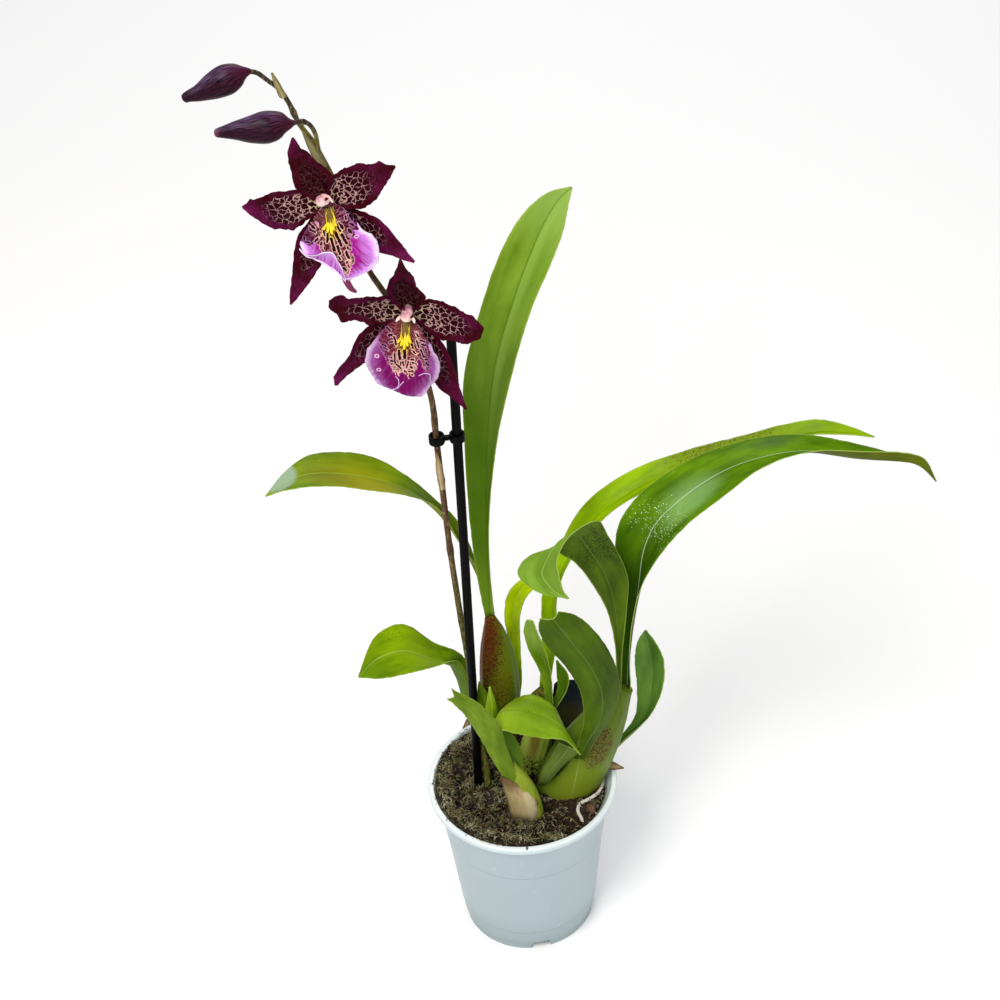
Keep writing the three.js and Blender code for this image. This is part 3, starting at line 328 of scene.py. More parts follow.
# %% Tubes
def tube(stations, sides=24, steps=48, relief=None, round_start=0.0, round_end=0.0):
    """A closed tube. Each station is [x, y, z, width, depth]."""
    points = [Vector(s[:3]) for s in stations]
    widths = [s[3] for s in stations]
    depths = [s[4] if len(s) > 4 else s[3] for s in stations]
    rings = []
    wide = None
    length = 0
    for i in range(steps + 1):
        t = 0.5 - 0.5 * math.cos(math.pi * i / steps) if round_start or round_end else i / steps
        run = (spline(points, min(t + 0.001, 1)) - spline(points, max(t - 0.001, 0))).normalized()
        wide = (wide - run * wide.dot(run)).normalized() if wide else run.cross(Vector((0, 1, 0))).normalized()
        centre = spline(points, t)
        length += (centre - rings[-1][1]).length if rings else 0
        rings.append((t, centre, wide.copy(), run.cross(wide), flow(widths, t) / 2, flow(depths, t) / 2, length))
    shape = bmesh.new()
    shape.loops.layers.uv.new("UVMap")
    bmesh.ops.create_grid(shape, x_segments=sides, y_segments=steps, size=1, calc_uvs=True)
    kept = shape.verts.layers.float_vector.new("blade")
    for corner in shape.verts:
        i = round((corner.co.y + 1) / 2 * steps)
        turn = (corner.co.x + 1) * math.pi
        t, centre, wide, deep, half_wide, half_deep, so_far = rings[i]
        swell = 1
        for dome, gap in ((round_start, so_far), (round_end, length - so_far)):
            if dome and gap < dome:
                swell *= math.sqrt(max(0.004, 1 - (1 - gap / dome) ** 2))
        rise = relief(t, turn, so_far) if relief else 0
        corner.co = centre + wide * (half_wide * swell + rise) * math.cos(turn)
        corner.co += deep * (half_deep * swell + rise) * math.sin(turn)
        corner[kept] = (corner.co.x, so_far, turn / math.pi - 1)
    bmesh.ops.remove_doubles(shape, verts=shape.verts, dist=1e-4)
    bmesh.ops.holes_fill(shape, edges=[edge for edge in shape.edges if edge.is_boundary], sides=0)
    bmesh.ops.recalc_face_normals(shape, faces=shape.faces)
    return shape


# %% [markdown]
# ## The pot
# A thin moulded pot is a solid of revolution, so its outline is spun once round its axis. The four
# notches in its foot, which let water out, are cut with a Boolean, because they are real openings.

# %% The pot
def spun(outline, steps, closed=False):
    """An outline of radius and level, spun once round the upright."""
    shape = bmesh.new()
    corners = [shape.verts.new((r, 0, z)) for r, z in outline]
    for a, b in zip(corners, corners[1:] + (corners[:1] if closed else [])):
        shape.edges.new((a, b))
    bmesh.ops.spin(shape, geom=shape.verts[:] + shape.edges[:], cent=(0, 0, 0), axis=(0, 0, 1),
                   angle=2 * math.pi, steps=steps, use_merge=True, use_duplicate=False)
    bmesh.ops.remove_doubles(shape, verts=shape.verts, dist=1e-3)
    bmesh.ops.recalc_face_normals(shape, faces=shape.faces)
    return shape


def rounded(shape, edges, offset, segments):
    """Rounds edges of a shape."""
    bmesh.ops.bevel(shape, geom=edges, offset=offset, offset_type="OFFSET", segments=segments, profile=0.5,
                    affect="EDGES", material=-1, clamp_overlap=True)


POT_HEIGHT, RIM_RADIUS, RIM_BAND, LIP_WIDTH, NECK_RADIUS = 117, 60, 5, 3.2, 54.2
FOOT_RADIUS, FOOT_STEP, FOOT_HEIGHT, WALL, FLOOR_LEVEL, PAD_RADIUS = 42, 1.2, 7, 1.6, 7.8, 11
MOULD_LINES, LINE_STEP = (18, 79), 0.5
NOTCHES, NOTCH_WIDTH, NOTCH_SPREAD, NOTCH_TURN = 4, 10, 2, 8


def wall_radius(z):
    slope = (NECK_RADIUS - FOOT_RADIUS - FOOT_STEP) / (POT_HEIGHT - RIM_BAND - FOOT_HEIGHT)
    return FOOT_RADIUS + FOOT_STEP + (z - FOOT_HEIGHT) * slope


neck = POT_HEIGHT - RIM_BAND
under = FLOOR_LEVEL - WALL
outline = [(0, 0), (PAD_RADIUS, 0), (PAD_RADIUS + 0.5, under), (FOOT_RADIUS - 4.2, under),
           (FOOT_RADIUS - 3.6, 0), (FOOT_RADIUS, 0), (FOOT_RADIUS, FOOT_HEIGHT - 0.6),
           (wall_radius(FOOT_HEIGHT), FOOT_HEIGHT)]
for line in MOULD_LINES:
    outline += [(wall_radius(line), line), (wall_radius(line) + LINE_STEP, line + 1)]
outline += [(NECK_RADIUS, neck), (RIM_RADIUS - 0.4, neck + 0.5), (RIM_RADIUS, POT_HEIGHT - 1),
            (RIM_RADIUS - 1, POT_HEIGHT), (RIM_RADIUS - LIP_WIDTH, POT_HEIGHT),
            (RIM_RADIUS - LIP_WIDTH - 0.6, POT_HEIGHT - 1), (NECK_RADIUS - WALL, neck - 2),
            (wall_radius(FLOOR_LEVEL + 2) - WALL, FLOOR_LEVEL + 2),
            (wall_radius(FLOOR_LEVEL) - WALL - 2, FLOOR_LEVEL), (0, FLOOR_LEVEL)]

pot_shape = spun(outline, 144)
crisp = [edge for edge in pot_shape.edges if edge.calc_face_angle(0) > math.radians(35)
         and abs(edge.verts[0].co.z - edge.verts[1].co.z) < 0.01]
rounded(pot_shape, crisp, 0.3, 2)

cutter_shape = bmesh.new()
for k in range(NOTCHES):
    block = bmesh.ops.create_cube(cutter_shape, size=1)["verts"]
    bmesh.ops.scale(cutter_shape, verts=block, vec=(NOTCH_WIDTH, 12, FOOT_HEIGHT))
    bmesh.ops.translate(cutter_shape, verts=block, vec=(0, -FOOT_RADIUS + 2, FOOT_HEIGHT / 2 - 1))
    for corner in block:
        if corner.co.z < 0:
            corner.co.x += math.copysign(NOTCH_SPREAD, corner.co.x)
    turn = Matrix.Rotation(math.radians(NOTCH_TURN + 360 / NOTCHES * k), 3, "Z")
    bmesh.ops.rotate(cutter_shape, verts=block, cent=(0, 0, 0), matrix=turn)


def applied(shape, cutter):
    """The shape with the cutter taken away."""
    objects = []
    for source in (shape, cutter):
        part = bpy.data.meshes.new("part")
        source.to_mesh(part)
        source.free()
        objects.append(bpy.data.objects.new("part", part))
        bpy.context.scene.collection.objects.link(objects[-1])
    cut = objects[0].modifiers.new("notches", "BOOLEAN")
    cut.operation, cut.object, cut.solver = "DIFFERENCE", objects[1], "EXACT"
    left = bmesh.new()
    left.from_mesh(objects[0].evaluated_get(bpy.context.evaluated_depsgraph_get()).to_mesh())
    for spent in objects:
        bpy.data.meshes.remove(spent.data)
    return left


# %% [markdown]
# Many surfaces carry patches of another colour, or dots. An egg of a given middle and reach says where a
# patch lies, and a Voronoi pattern breaks it into dots where that is asked for.

# %% Patches of colour


def egg(mat, place, centre, reach, tilt=0):
    """How far out a place lies from an egg's middle: 0 in the middle and 1 on its surface."""
    local = add(mat, "Mapping", {"Vector": place, "Location": centre, "Rotation": (0, math.radians(tilt), 0),
                                 "Scale": reach}, vector_type="TEXTURE")
    return add(mat, "VectorMath", {0: local}, out="Value", operation="LENGTH")


def patch(mat, centre, reach, soft, tilt=0):
    """1 inside an egg, and 0 outside it. Its middle and its reach along x, y and z are in mm."""
    far = egg(mat, add(mat, "TexCoord", out="Object"), [c * MM for c in centre], [r * MM for r in reach], tilt)
    return add(mat, "MapRange", {"Value": far, "From Min": 1 - soft, "From Max": 1 + soft,
                                 "To Min": 1.0, "To Max": 0.0}, interpolation_type="SMOOTHSTEP")


def on_blade(mat):
    """Where a point lies on its leaf, petal or husk, in mm: across, along, and in from the brink."""
    return add(mat, "SeparateXYZ", {0: add(mat, "Attribute", out="Vector", attribute_name="blade")}, out=None)


def laid_out(mat, *sides):
    """A place made of values, each times a number, so that a pattern is drawn out along a surface."""
    return add(mat, "CombineXYZ", {k: add(mat, "Math", {0: value, 1: times}, operation="MULTIPLY")
                                   for k, (value, times) in enumerate(sides)})


def dotted(mat, mask, spacing):
    """Turns a soft mask into dots that are denser where the mask is stronger. The spacing is in mm."""
    place = add(mat, "TexCoord", out="Object")
    cell = add(mat, "TexVoronoi", {"Vector": place, "Scale": 1 / (spacing * MM)}, out="Color")
    draw = add(mat, "SeparateColor", {0: cell})
    return add(mat, "Math", {0: mask, 1: draw}, operation="GREATER_THAN")


def marked(mat, colour, marks):
    """Adds patches of colour: a plain tint, or dots with a spacing in mm."""
    for spacing, centre, reach, soft, tilt, tone, strength in marks:
        mask = patch(mat, centre, reach, soft, tilt)
        mask = add(mat, "Math", {0: mask, 1: strength}, operation="MULTIPLY")
        colour = blended(mat, dotted(mat, mask, spacing) if spacing else mask, colour, tone)
    return colour


# %% [markdown]
# The pot is polypropylene, moulded in a smooth tool and tinted a very pale blue-grey. It has a satin
# shine, traces of chalky water marks, and a few dark crumbs stuck below the rim. Its foot, the band
# under the rim and its mould lines carry painted shade, and its rim and brink carry painted light.

# %% The pot's plastic
pot_plastic = material("moulded_pale_polypropylene", Roughness=0.34, IOR=1.49)
place = add(pot_plastic, "TexCoord", out="Object")
cloud = add(pot_plastic, "TexNoise", {"Vector": place, "Scale": 22, "Detail": 4})
height = add(pot_plastic, "SeparateXYZ", {0: place}, out=2)
tint = blended(pot_plastic, cloud, "9cadb3", "a6b7bd")
POT_LIGHT_AND_SHADE_BANDS = [  # from one level in mm to another the tint turns to this tone: painted shade on the foot and under the rim, painted light on the rim and its brink
    (30, 4, "8fa0a4"), (107.5, 111.5, "8d9ea4"), (111.5, 112.5, "c2d0d4"), (115.5, 117, "e2eaec"),
]
for low, high, tone in POT_LIGHT_AND_SHADE_BANDS:
    share = add(pot_plastic, "MapRange", {"Value": height, "From Min": low * MM, "From Max": high * MM})
    tint = blended(pot_plastic, share, tint, tone)
# Painted shade: each mould line's small step faces down, so a thin dark line is painted along it.
for line in MOULD_LINES:
    near = add(pot_plastic, "Math", {0: height, 1: (line + 0.4) * MM}, operation="SUBTRACT")
    near = add(pot_plastic, "Math", {0: near}, operation="ABSOLUTE")
    near = add(pot_plastic, "MapRange", {"Value": near, "From Max": 0.9 * MM, "To Min": 0.85, "To Max": 0.0})
    tint = blended(pot_plastic, near, tint, "748890")
chalk = add(pot_plastic, "TexNoise", {"Vector": place, "Scale": 160, "Detail": 6, "Roughness": 0.7})
chalk = add(pot_plastic, "MapRange", {"Value": chalk, "From Min": 0.62, "From Max": 0.72})
chalk = add(pot_plastic, "Math", {0: chalk, 1: 0.35}, operation="MULTIPLY")
tint = blended(pot_plastic, chalk, tint, "dfe4e2")
STUCK_CRUMBS = [(-33.4, -50, 107.2), (-11.7, -54, 111.7), (0, -59, 117.3)]
tint = marked(pot_plastic, tint, [(0, spot, (0.9, 4, 0.7), 0.3, 20, "2c2214", 0.9) for spot in STUCK_CRUMBS])
gloss = add(pot_plastic, "MapRange", {"Value": cloud, "To Min": 0.3, "To Max": 0.46})
dress(pot_plastic, tint, gloss, cloud, depth=0.12, strength=0.25)
finish_piece("pot_moulding", [applied(pot_shape, cutter_shape)], [pot_plastic], ["pot"])

# %% [markdown]
# ## The potting mix
# The pot is filled with bark and moss, heaped towards the front left. Moss can't be carved from one
# surface, so the ground is a lumpy disc and the moss is a few thousand short curled strands that lie in
# it. One strand is a bent three-sided tube; it is copied with another turn and size for each. Dark crumbs
# of bark and white grains of perlite are copied in the same way, mostly on the right.

# %% The ground
MIX_LEVEL, MIX_RISE, GAP = 106.6, 5.4, 0.35
RIM_HEAP, MIX_REACH = 6, 53
RIM_ARC, RIM_REACH, RIM_SHARE = (125, 258), (52.5, 57.2), 14  # where moss hangs over the rim, and one in how many
chance = random.Random(7)


def mix_top(x, y):
    """The level of the mix: as the solid has it, with a little moss heaped against the rim."""
    r = max(math.hypot(x, y), 1)
    front_left = 0.5 - (0.38 * x + 0.33 * y) / r
    heaped = MIX_RISE * max(0, (r - 26) / 26) ** 2 * (0.3 + 0.7 * front_left)
    lumps = math.sin(x * 0.31 + 1) * math.cos(y * 0.27) + 0.7 * math.sin(x * 0.13 - y * 0.19)
    brim = RIM_HEAP * step(38, 51, r) * step(-0.3, 0.25, -(0.8 * x + 0.25 * y) / r)
    return MIX_LEVEL + heaped + brim + 0.7 * lumps


def tufts(x, y):
    """Cushions of moss about six millimetres across, with pits between them that the strands paint dark as shade."""
    lump = 2.4 * noise.noise(Vector((x * 0.16, y * 0.16, 5))) + 1.3 * noise.noise(Vector((x * 0.4, y * 0.4, 8)))
    return lump * (1 - 0.7 * step(44, 51, math.hypot(x, y)))


def inner_radius(z):
    return wall_radius(z) - WALL - GAP - 0.35


sides = [(0, 8.2), (inner_radius(8.2) - 3, 8.2), (inner_radius(11), 11), (inner_radius(60), 60),
         (inner_radius(103), 103)]
rings = [(inner_radius(107) * (1 - (k / 40) ** 1.1), MIX_LEVEL) for k in range(41)]
ground = spun(sides + rings, 160)
for corner in ground.verts:
    if corner.co.z > MIX_LEVEL - 1:
        x, y = corner.co.xy
        level = mix_top(x, y)
        r = math.hypot(x, y)
        hug = step(-0.25, 0.35, -(0.8 * x - 0.1 * y) / max(r, 1))
        spread = 0.993 + 0.26 * (level - 107) / inner_radius(107) + 0.034 * hug if r > 50 else 1
        rough = noise.fractal(Vector((x, y, 3)) * 0.35, 0.8, 2.1, 4) * 0.6 + tufts(x, y)
        corner.co = (x * spread, y * spread, level + rough)
bmesh.ops.recalc_face_normals(ground, faces=ground.faces)

soil = material("bark_and_peat", Roughness=0.95)
place = add(soil, "TexCoord", out="Object")
fine = add(soil, "TexNoise", {"Vector": place, "Scale": 520, "Detail": 6, "Roughness": 0.7})
coarse = add(soil, "TexVoronoi", {"Vector": place, "Scale": 260}, out="Color")
grain = add(soil, "SeparateColor", {0: coarse})
tone = blended(soil, grain, "150f0a", "30231a")
pale = add(soil, "MapRange", {"Value": fine, "From Min": 0.6, "From Max": 0.78})
tone = blended(soil, pale, tone, "6d5f45")
dress(soil, tone, None, fine, depth=1.2, strength=0.9)

# %% Strands, crumbs and grains
ROOT = [
    [48, 10, 106.5, 2.2], [50.6, 5, 109, 2.2], [50.6, -3, 110, 2.2], [46.5, -10.5, 109.8, 2.2],
    [40, -14.5, 109, 2.2], [35, -17.5, 108.8, 2.2], [33.5, -23, 108.8, 2.2], [35.5, -30, 108.6, 2.2],
    [36.5, -34, 107, 1.8],
]


def scatter(seed_shape, places):
    """Copies a small shape to many places."""
    seed_mesh = bpy.data.meshes.new("seed")
    seed_shape.to_mesh(seed_mesh)
    seed_shape.free()
    strewn = bmesh.new()
    for matrix in places:
        copy = seed_mesh.copy()
        copy.transform(matrix)
        strewn.from_mesh(copy)
        bpy.data.meshes.remove(copy)
    bpy.data.meshes.remove(seed_mesh)
    return strewn


def curl(turns, length, thick):
    """A short curled strand, three-sided."""
    stations = []
    for k in range(5):
        t = k / 4
        angle = turns * math.pi * t
        reach = length * (0.25 + 0.3 * t)
        stations.append((reach * math.cos(angle) - length * 0.3, reach * math.sin(angle),
                         length * 0.22 * math.sin(math.pi * t), thick * (1 - 0.5 * t)))
    return tube(stations, sides=3, steps=4)


def lie(x, y, rise, lean, size):
    """A place on the mix with a random turn about the upright and a lean from it."""
    turn = Matrix.Rotation(chance.uniform(0, 2 * math.pi), 4, "Z")
    tip = Matrix.Rotation(chance.gauss(0, lean), 4, "X")
    level = mix_top(x, y) + tufts(x, y) + rise
    return Matrix.Translation((x, y, level)) @ turn @ tip @ Matrix.Scale(size, 4)


def spots(count, keep):
    """Random places on the mix, kept by their chance."""
    found = []
    while len(found) < count:
        x, y = chance.uniform(-MIX_REACH, MIX_REACH), chance.uniform(-MIX_REACH, MIX_REACH)
        if math.hypot(x, y) < MIX_REACH and chance.random() < keep(x, y):
            found.append((x, y))
    return found


def mossy(x, y):
    """How mossy the mix is: nearly all on the left and in front, little on the right."""
    return 0.12 + 0.88 * (1 - step(-2, 26, x + 0.35 * y + 6))


moss_coats = []
STRAND_SHADE = 0.45
MOSS = {"moss_dark": "201c11", "moss_mid": "8a8260", "moss_green": "747a44", "moss_pale": "b4a982",
        "moss_bleached": "e4dcbc", "moss_rusty": "6e482a"}
for name, tone in MOSS.items():
    shade = [channel * STRAND_SHADE for channel in linear(tone)[:3]] + [1]
    moss_coats.append(speckled(name + "_strand", shade, tone, 700, 3, Roughness=0.9, Specular_IOR_Level=0.1))

# The least height keeps pale strands on the cushions' tops as painted light, while dark ones reach down into the pits
# as painted shade.
strand_kinds = [  # turns, length, thickness, how many, colour, the least height on a cushion
    (0.6, 5.0, 0.9, 1100, 0, -1.6), (0.5, 5.2, 0.7, 1200, 1, -0.9), (0.35, 6.0, 0.7, 1000, 2, -0.8),
    (0.6, 5.6, 0.5, 1200, 3, 0.0), (0.4, 5.4, 0.42, 640, 4, 0.4), (0.6, 4.6, 0.7, 500, 5, -0.8)]
moss_parts = []
for turns, length, thick, count, coat, lowest in strand_kinds:
    def patchy(x, y):
        """Each colour keeps to its own cushions, the pale ones to their tops as painted light and the dark ones down
        into the pits as painted shade.
        """
        own = 0.15 + 0.85 * step(-0.25, 0.3, noise.noise(Vector((x * 0.13, y * 0.13, coat * 7))))
        height = tufts(x, y) + 2 * step(46, 51, math.hypot(x, y))
        return mossy(x, y) * own * (0.05 + step(lowest, lowest + 1.1, height))
    places = [lie(x, y, chance.uniform(-0.5, 1.1), 0.8, chance.uniform(0.6, 1.2))
              for x, y in spots(count, patchy)]
    for _ in range(count // RIM_SHARE):
        angle, far = math.radians(chance.uniform(*RIM_ARC)), chance.uniform(*RIM_REACH)
        x, y = far * math.cos(angle), far * math.sin(angle)
        places.append(lie(x, y, POT_HEIGHT - mix_top(x, y) - tufts(x, y) - chance.uniform(0, 1.4), 0.3, 0.6))
    strands = scatter(curl(turns, length, thick), places)
    for face in strands.faces:
        face.material_index = coat
    moss_parts.append(strands)
finish_piece("ground_of_mix", [ground], [soil], ["potting_mix"])
finish_piece("moss_strands", moss_parts[:3], moss_coats, ["potting_mix"])
finish_piece("moss_tips", moss_parts[3:], moss_coats, ["potting_mix"])

bark_crumb = material("composted_bark", Roughness=0.9, Specular_IOR_Level=0.1)
place = add(bark_crumb, "TexCoord", out="Object")
grain = add(bark_crumb, "TexNoise", {"Vector": place, "Scale": 300, "Detail": 5, "Roughness": 0.65})
dress(bark_crumb, blended(bark_crumb, grain, "160f09", "463220"), None, grain, depth=0.8, strength=0.8)
perlite = speckled("expanded_perlite", "8f877a", "dcd6c8", 900, depth=0.5, Roughness=0.85)


def crumb(seed, flat):
    """An uneven small lump."""
    lump = bmesh.new()
    bmesh.ops.create_icosphere(lump, subdivisions=1, radius=1)
    for corner in lump.verts:
        corner.co *= 1 + 0.35 * noise.noise(corner.co * 1.7 + Vector((seed, 0, 0)))
        corner.co.z *= flat
    return lump


def clear_of_root(x, y):
    """Keeps crumbs off the white root that lies on the mix."""
    return all(math.hypot(x - p[0], y - p[1]) > 3.4 for p in ROOT)


crumb_parts = []
for seed, flat, count, size, coat, keep in (  # flat bark, broad bark, perlite
        (3, 0.6, 520, 1.5, 0, lambda x, y: 1.05 - mossy(x, y)),
        (8, 0.4, 300, 2.1, 0, lambda x, y: 1.05 - mossy(x, y)),
        (5, 0.8, 70, 0.9, 1, lambda x, y: 1.1 - 0.8 * mossy(x, y))):
    places = [lie(x, y, chance.uniform(-0.3, 0.6), 0.6, size * chance.uniform(0.45, 1.2))
              for x, y in spots(count, keep) if clear_of_root(x, y)]
    crumbs = scatter(crumb(seed, flat), places)
    for face in crumbs.faces:
        face.material_index = coat
    crumb_parts.append(crumbs)
finish_piece("crumbs_and_grains", crumb_parts, [bark_crumb, perlite], ["potting_mix"])

# %% [markdown]
# ## Bulbs
# Each swollen stem stores water. It is oval in section, smooth and waxy, with shallow ribs that run from
# its foot to the scar where its leaves stand. Two of them are flushed with red-brown: the colour comes in
# tiny dots that grow denser towards the middle of the flush, as the real pigment does.

# %% The bulbs' skin


def bulb_skin(name, body, pale, dark, marks):
    mat = material(name, Roughness=0.33, IOR=1.45, Specular_IOR_Level=0.08)
    place = add(mat, "TexCoord", out="Object")
    along = add(mat, "Mapping", {"Vector": place, "Scale": (1, 1, 0.14)})
    rib = add(mat, "TexNoise", {"Vector": along, "Scale": 420, "Detail": 3})
    cloud = add(mat, "TexNoise", {"Vector": place, "Scale": 45, "Detail": 3})
    colour = blended(mat, cloud, body, pale)
    share = add(mat, "MapRange", {"Value": rib, "From Min": 0.45, "From Max": 0.75, "To Max": 0.5})
    colour = blended(mat, share, colour, dark)
    colour = marked(mat, colour, marks)
    gloss = add(mat, "MapRange", {"Value": cloud, "To Min": 0.26, "To Max": 0.42})
    return dress(mat, colour, gloss, rib, depth=0.25, strength=0.3)


BULBS = {
    "pseudobulb_left": [
        [-14, 42, 98, 16, 11], [-13, 42, 112, 22, 15], [-12, 42, 132, 25, 17], [-11, 42, 156, 25.5, 17],
        [-11, 42, 176, 24, 15], [-11.5, 42, 193, 20, 12], [-12.5, 41, 209, 13, 9], [-14, 40.5, 221, 6.5, 5],
    ],
    "pseudobulb_right": [
        [22, 1, 96, 30, 20], [28, 1, 109, 39, 26], [36, 1, 129, 40, 27], [46, 1, 150, 34, 24],
        [55, 0, 171, 25, 17], [61, -1, 185, 17, 12], [66, -2, 195, 11, 8],
    ],
    "pseudobulb_back": [
        [11, 29, 98, 14, 9], [11, 29, 118, 18, 11], [11.5, 29, 140, 18, 11], [13.5, 28, 158, 13, 9],
        [17, 25.5, 169, 8, 7],
    ],
    "pseudobulb_middle": [
        [4, 17, 98, 13, 10], [6, 17, 114, 17, 11], [10.5, 17, 136, 17, 11], [15.5, 16.5, 152, 12, 9],
        [20.5, 15, 163, 8, 7],
    ],
    "front_growth": [
        [4, -21, 98, 14, 10], [3, -21, 110, 18, 13], [0, -21, 126, 18, 13], [-4, -20.5, 140, 14, 10],
        [-8, -20, 152, 8, 6],
    ],
}
BULB_LOOKS = {
    "pseudobulb_left": bulb_skin("flushed_waxy_bulb", "5a7406", "7a8c10", "445c02", [
        (0, (1, 34, 176), (11, 20, 60), 0.6, 0, "4f6c08", 0.8),
        (0, (-12, 34, 168), (9, 20, 34), 0.6, 0, "6a6a14", 0.7),
        (0, (-24, 34, 206), (14, 20, 32), 0.4, 8, "6a2c10", 0.85),
        (0.55, (-23, 34, 190), (14, 20, 44), 0.4, 8, "54240c", 0.7),
        (0.55, (-12, 34, 160), (9, 20, 16), 0.6, 0, "5c4010", 0.35),
        (0.55, (-4, 34, 140), (9, 20, 16), 0.6, 0, "34380c", 0.4)]),
    "pseudobulb_right": bulb_skin("green_waxy_bulb", "506416", "607420", "425a12", [
        (0, (34, -12, 112), (24, 20, 26), 0.8, 0, "7c8c22", 0.75),
        (0, (48, -12, 152), (8.5, 14, 17), 0.3, 14, "5b5c26", 0.55),
        (0.7, (48, -12, 152), (8.5, 14, 17), 0.22, 14, "4b3216", 0.42),
        # painted shadow: a dark slit where the front sheath stands off the bulb
        (0, (20.9, -12, 128.5), (1.5, 12, 17), 0.5, 35, "141c06", 0.95),
        (0, (33.2, -13, 127), (0.35, 9, 16), 0.6, 10, "a4b468", 0.35)]),
    "pseudobulb_back": bulb_skin("shaded_waxy_bulb", "5c6c14", "74842a", "46520e", [
        (0.8, (9, 20, 160), (14, 20, 18), 0.7, 0, "4a3414", 0.6)]),
    # Painted light: the middle bulb's colours are much lighter than the other bulbs', standing for light that falls
    # on it under the hood leaf.
    "pseudobulb_middle": bulb_skin("olive_waxy_bulb_painted_lit", "a4bc44", "bcd058", "8aa03a", [
        (0, (10, 11, 141), (3.4, 14, 22), 0.6, 10, "6e4a20", 0.8),
        (0.8, (8, 11, 112), (8, 14, 9), 0.6, 0, "2c2512", 0.4)]),
    "front_growth": bulb_skin("young_waxy_bulb", "7a8c24", "8c9c32", "647a16", []),
}
for name, coat in BULB_LOOKS.items():
    def ribs(t, turn, so_far, seed=len(name)):
        swell = math.sin(math.pi * min(max(t, 0), 1))
        return swell * (0.35 * math.cos(5 * turn + seed) + 0.18 * math.cos(11 * turn + 2 * seed))
    shape = tube(BULBS[name], sides=56, steps=64, relief=ribs, round_end=1.5)
    finish_piece(name + "_skin", [shape], [coat], [name])

# %% [markdown]
# ## Leaves
# A leaf of this plant is a strap with one deep midrib and fine parallel veins about a millimetre apart.
# Its upper side is greener and glossier than its underside, and its cut edge looks pale because light
# comes through it. So each leaf has three finishes: upper side, underside and edge.

# %% The leaves' finishes


def leaf_skin(name, deep, pale, rib, rough=0.36, rib_width=0.6, marks=(), veins=0.16, lit_strip=None):
    mat = material(name, Roughness=rough, IOR=1.42, Specular_IOR_Level=0.07)
    across, along, rim = on_blade(mat)
    lane = laid_out(mat, (across, 1), (along, 0.02))
    vein = add(mat, "TexNoise", {"Vector": lane, "Scale": 0.95, "Detail": 3, "Roughness": 0.6})
    broad = add(mat, "CombineXYZ", {0: across, 1: add(mat, "Math", {0: along, 1: 0.3}, operation="MULTIPLY"),
                                    2: float(len(name))})
    cloud = add(mat, "TexNoise", {"Vector": broad, "Scale": 0.1, "Detail": 3, "Roughness": 0.6})
    cloud = add(mat, "MapRange", {"Value": cloud, "From Min": 0.3, "From Max": 0.7})
    colour = blended(mat, cloud, deep, pale)
    # Painted light: a brighter strip just beside the midrib on one side, where the light falls on the blade.
    if lit_strip:
        band = add(mat, "MapRange", {"Value": across, "From Min": 0.2, "From Max": 1.4})
        fall = add(mat, "MapRange", {"Value": across, "From Min": 3.2, "From Max": 7.5, "To Min": 1.0,
                                     "To Max": 0.25})
        band = add(mat, "Math", {0: band, 1: fall}, operation="MULTIPLY")
        colour = blended(mat, band, colour, lit_strip)
    dark = add(mat, "MapRange", {"Value": vein, "From Min": 0.42, "From Max": 0.72, "To Max": veins})
    shade = [c * 0.55 for c in linear(deep)[:3]] + [1]
    colour = blended(mat, dark, colour, shade)
    colour = marked(mat, colour, marks)
    off = add(mat, "Math", {0: across}, operation="ABSOLUTE")
    line = add(mat, "MapRange", {"Value": off, "From Min": rib_width * 0.3, "From Max": rib_width,
                                 "To Min": 0.55, "To Max": 0.0}, interpolation_type="SMOOTHSTEP")
    colour = blended(mat, line, colour, rib)
    brink = add(mat, "MapRange", {"Value": rim, "From Min": 0.05, "From Max": 0.6, "To Min": 0.4, "To Max": 0.0})
    colour = blended(mat, brink, colour, "a4b852")
    gloss = add(mat, "MapRange", {"Value": cloud, "To Min": rough - 0.06, "To Max": rough + 0.1})
    return dress(mat, colour, gloss, vein, depth=0.18, strength=0.22)


leaf_edge_skin = speckled("leaf_edge_lit_through", "7f9a38", "a0b65c", 90, Roughness=0.5, IOR=1.42,
                          Specular_IOR_Level=0.2)

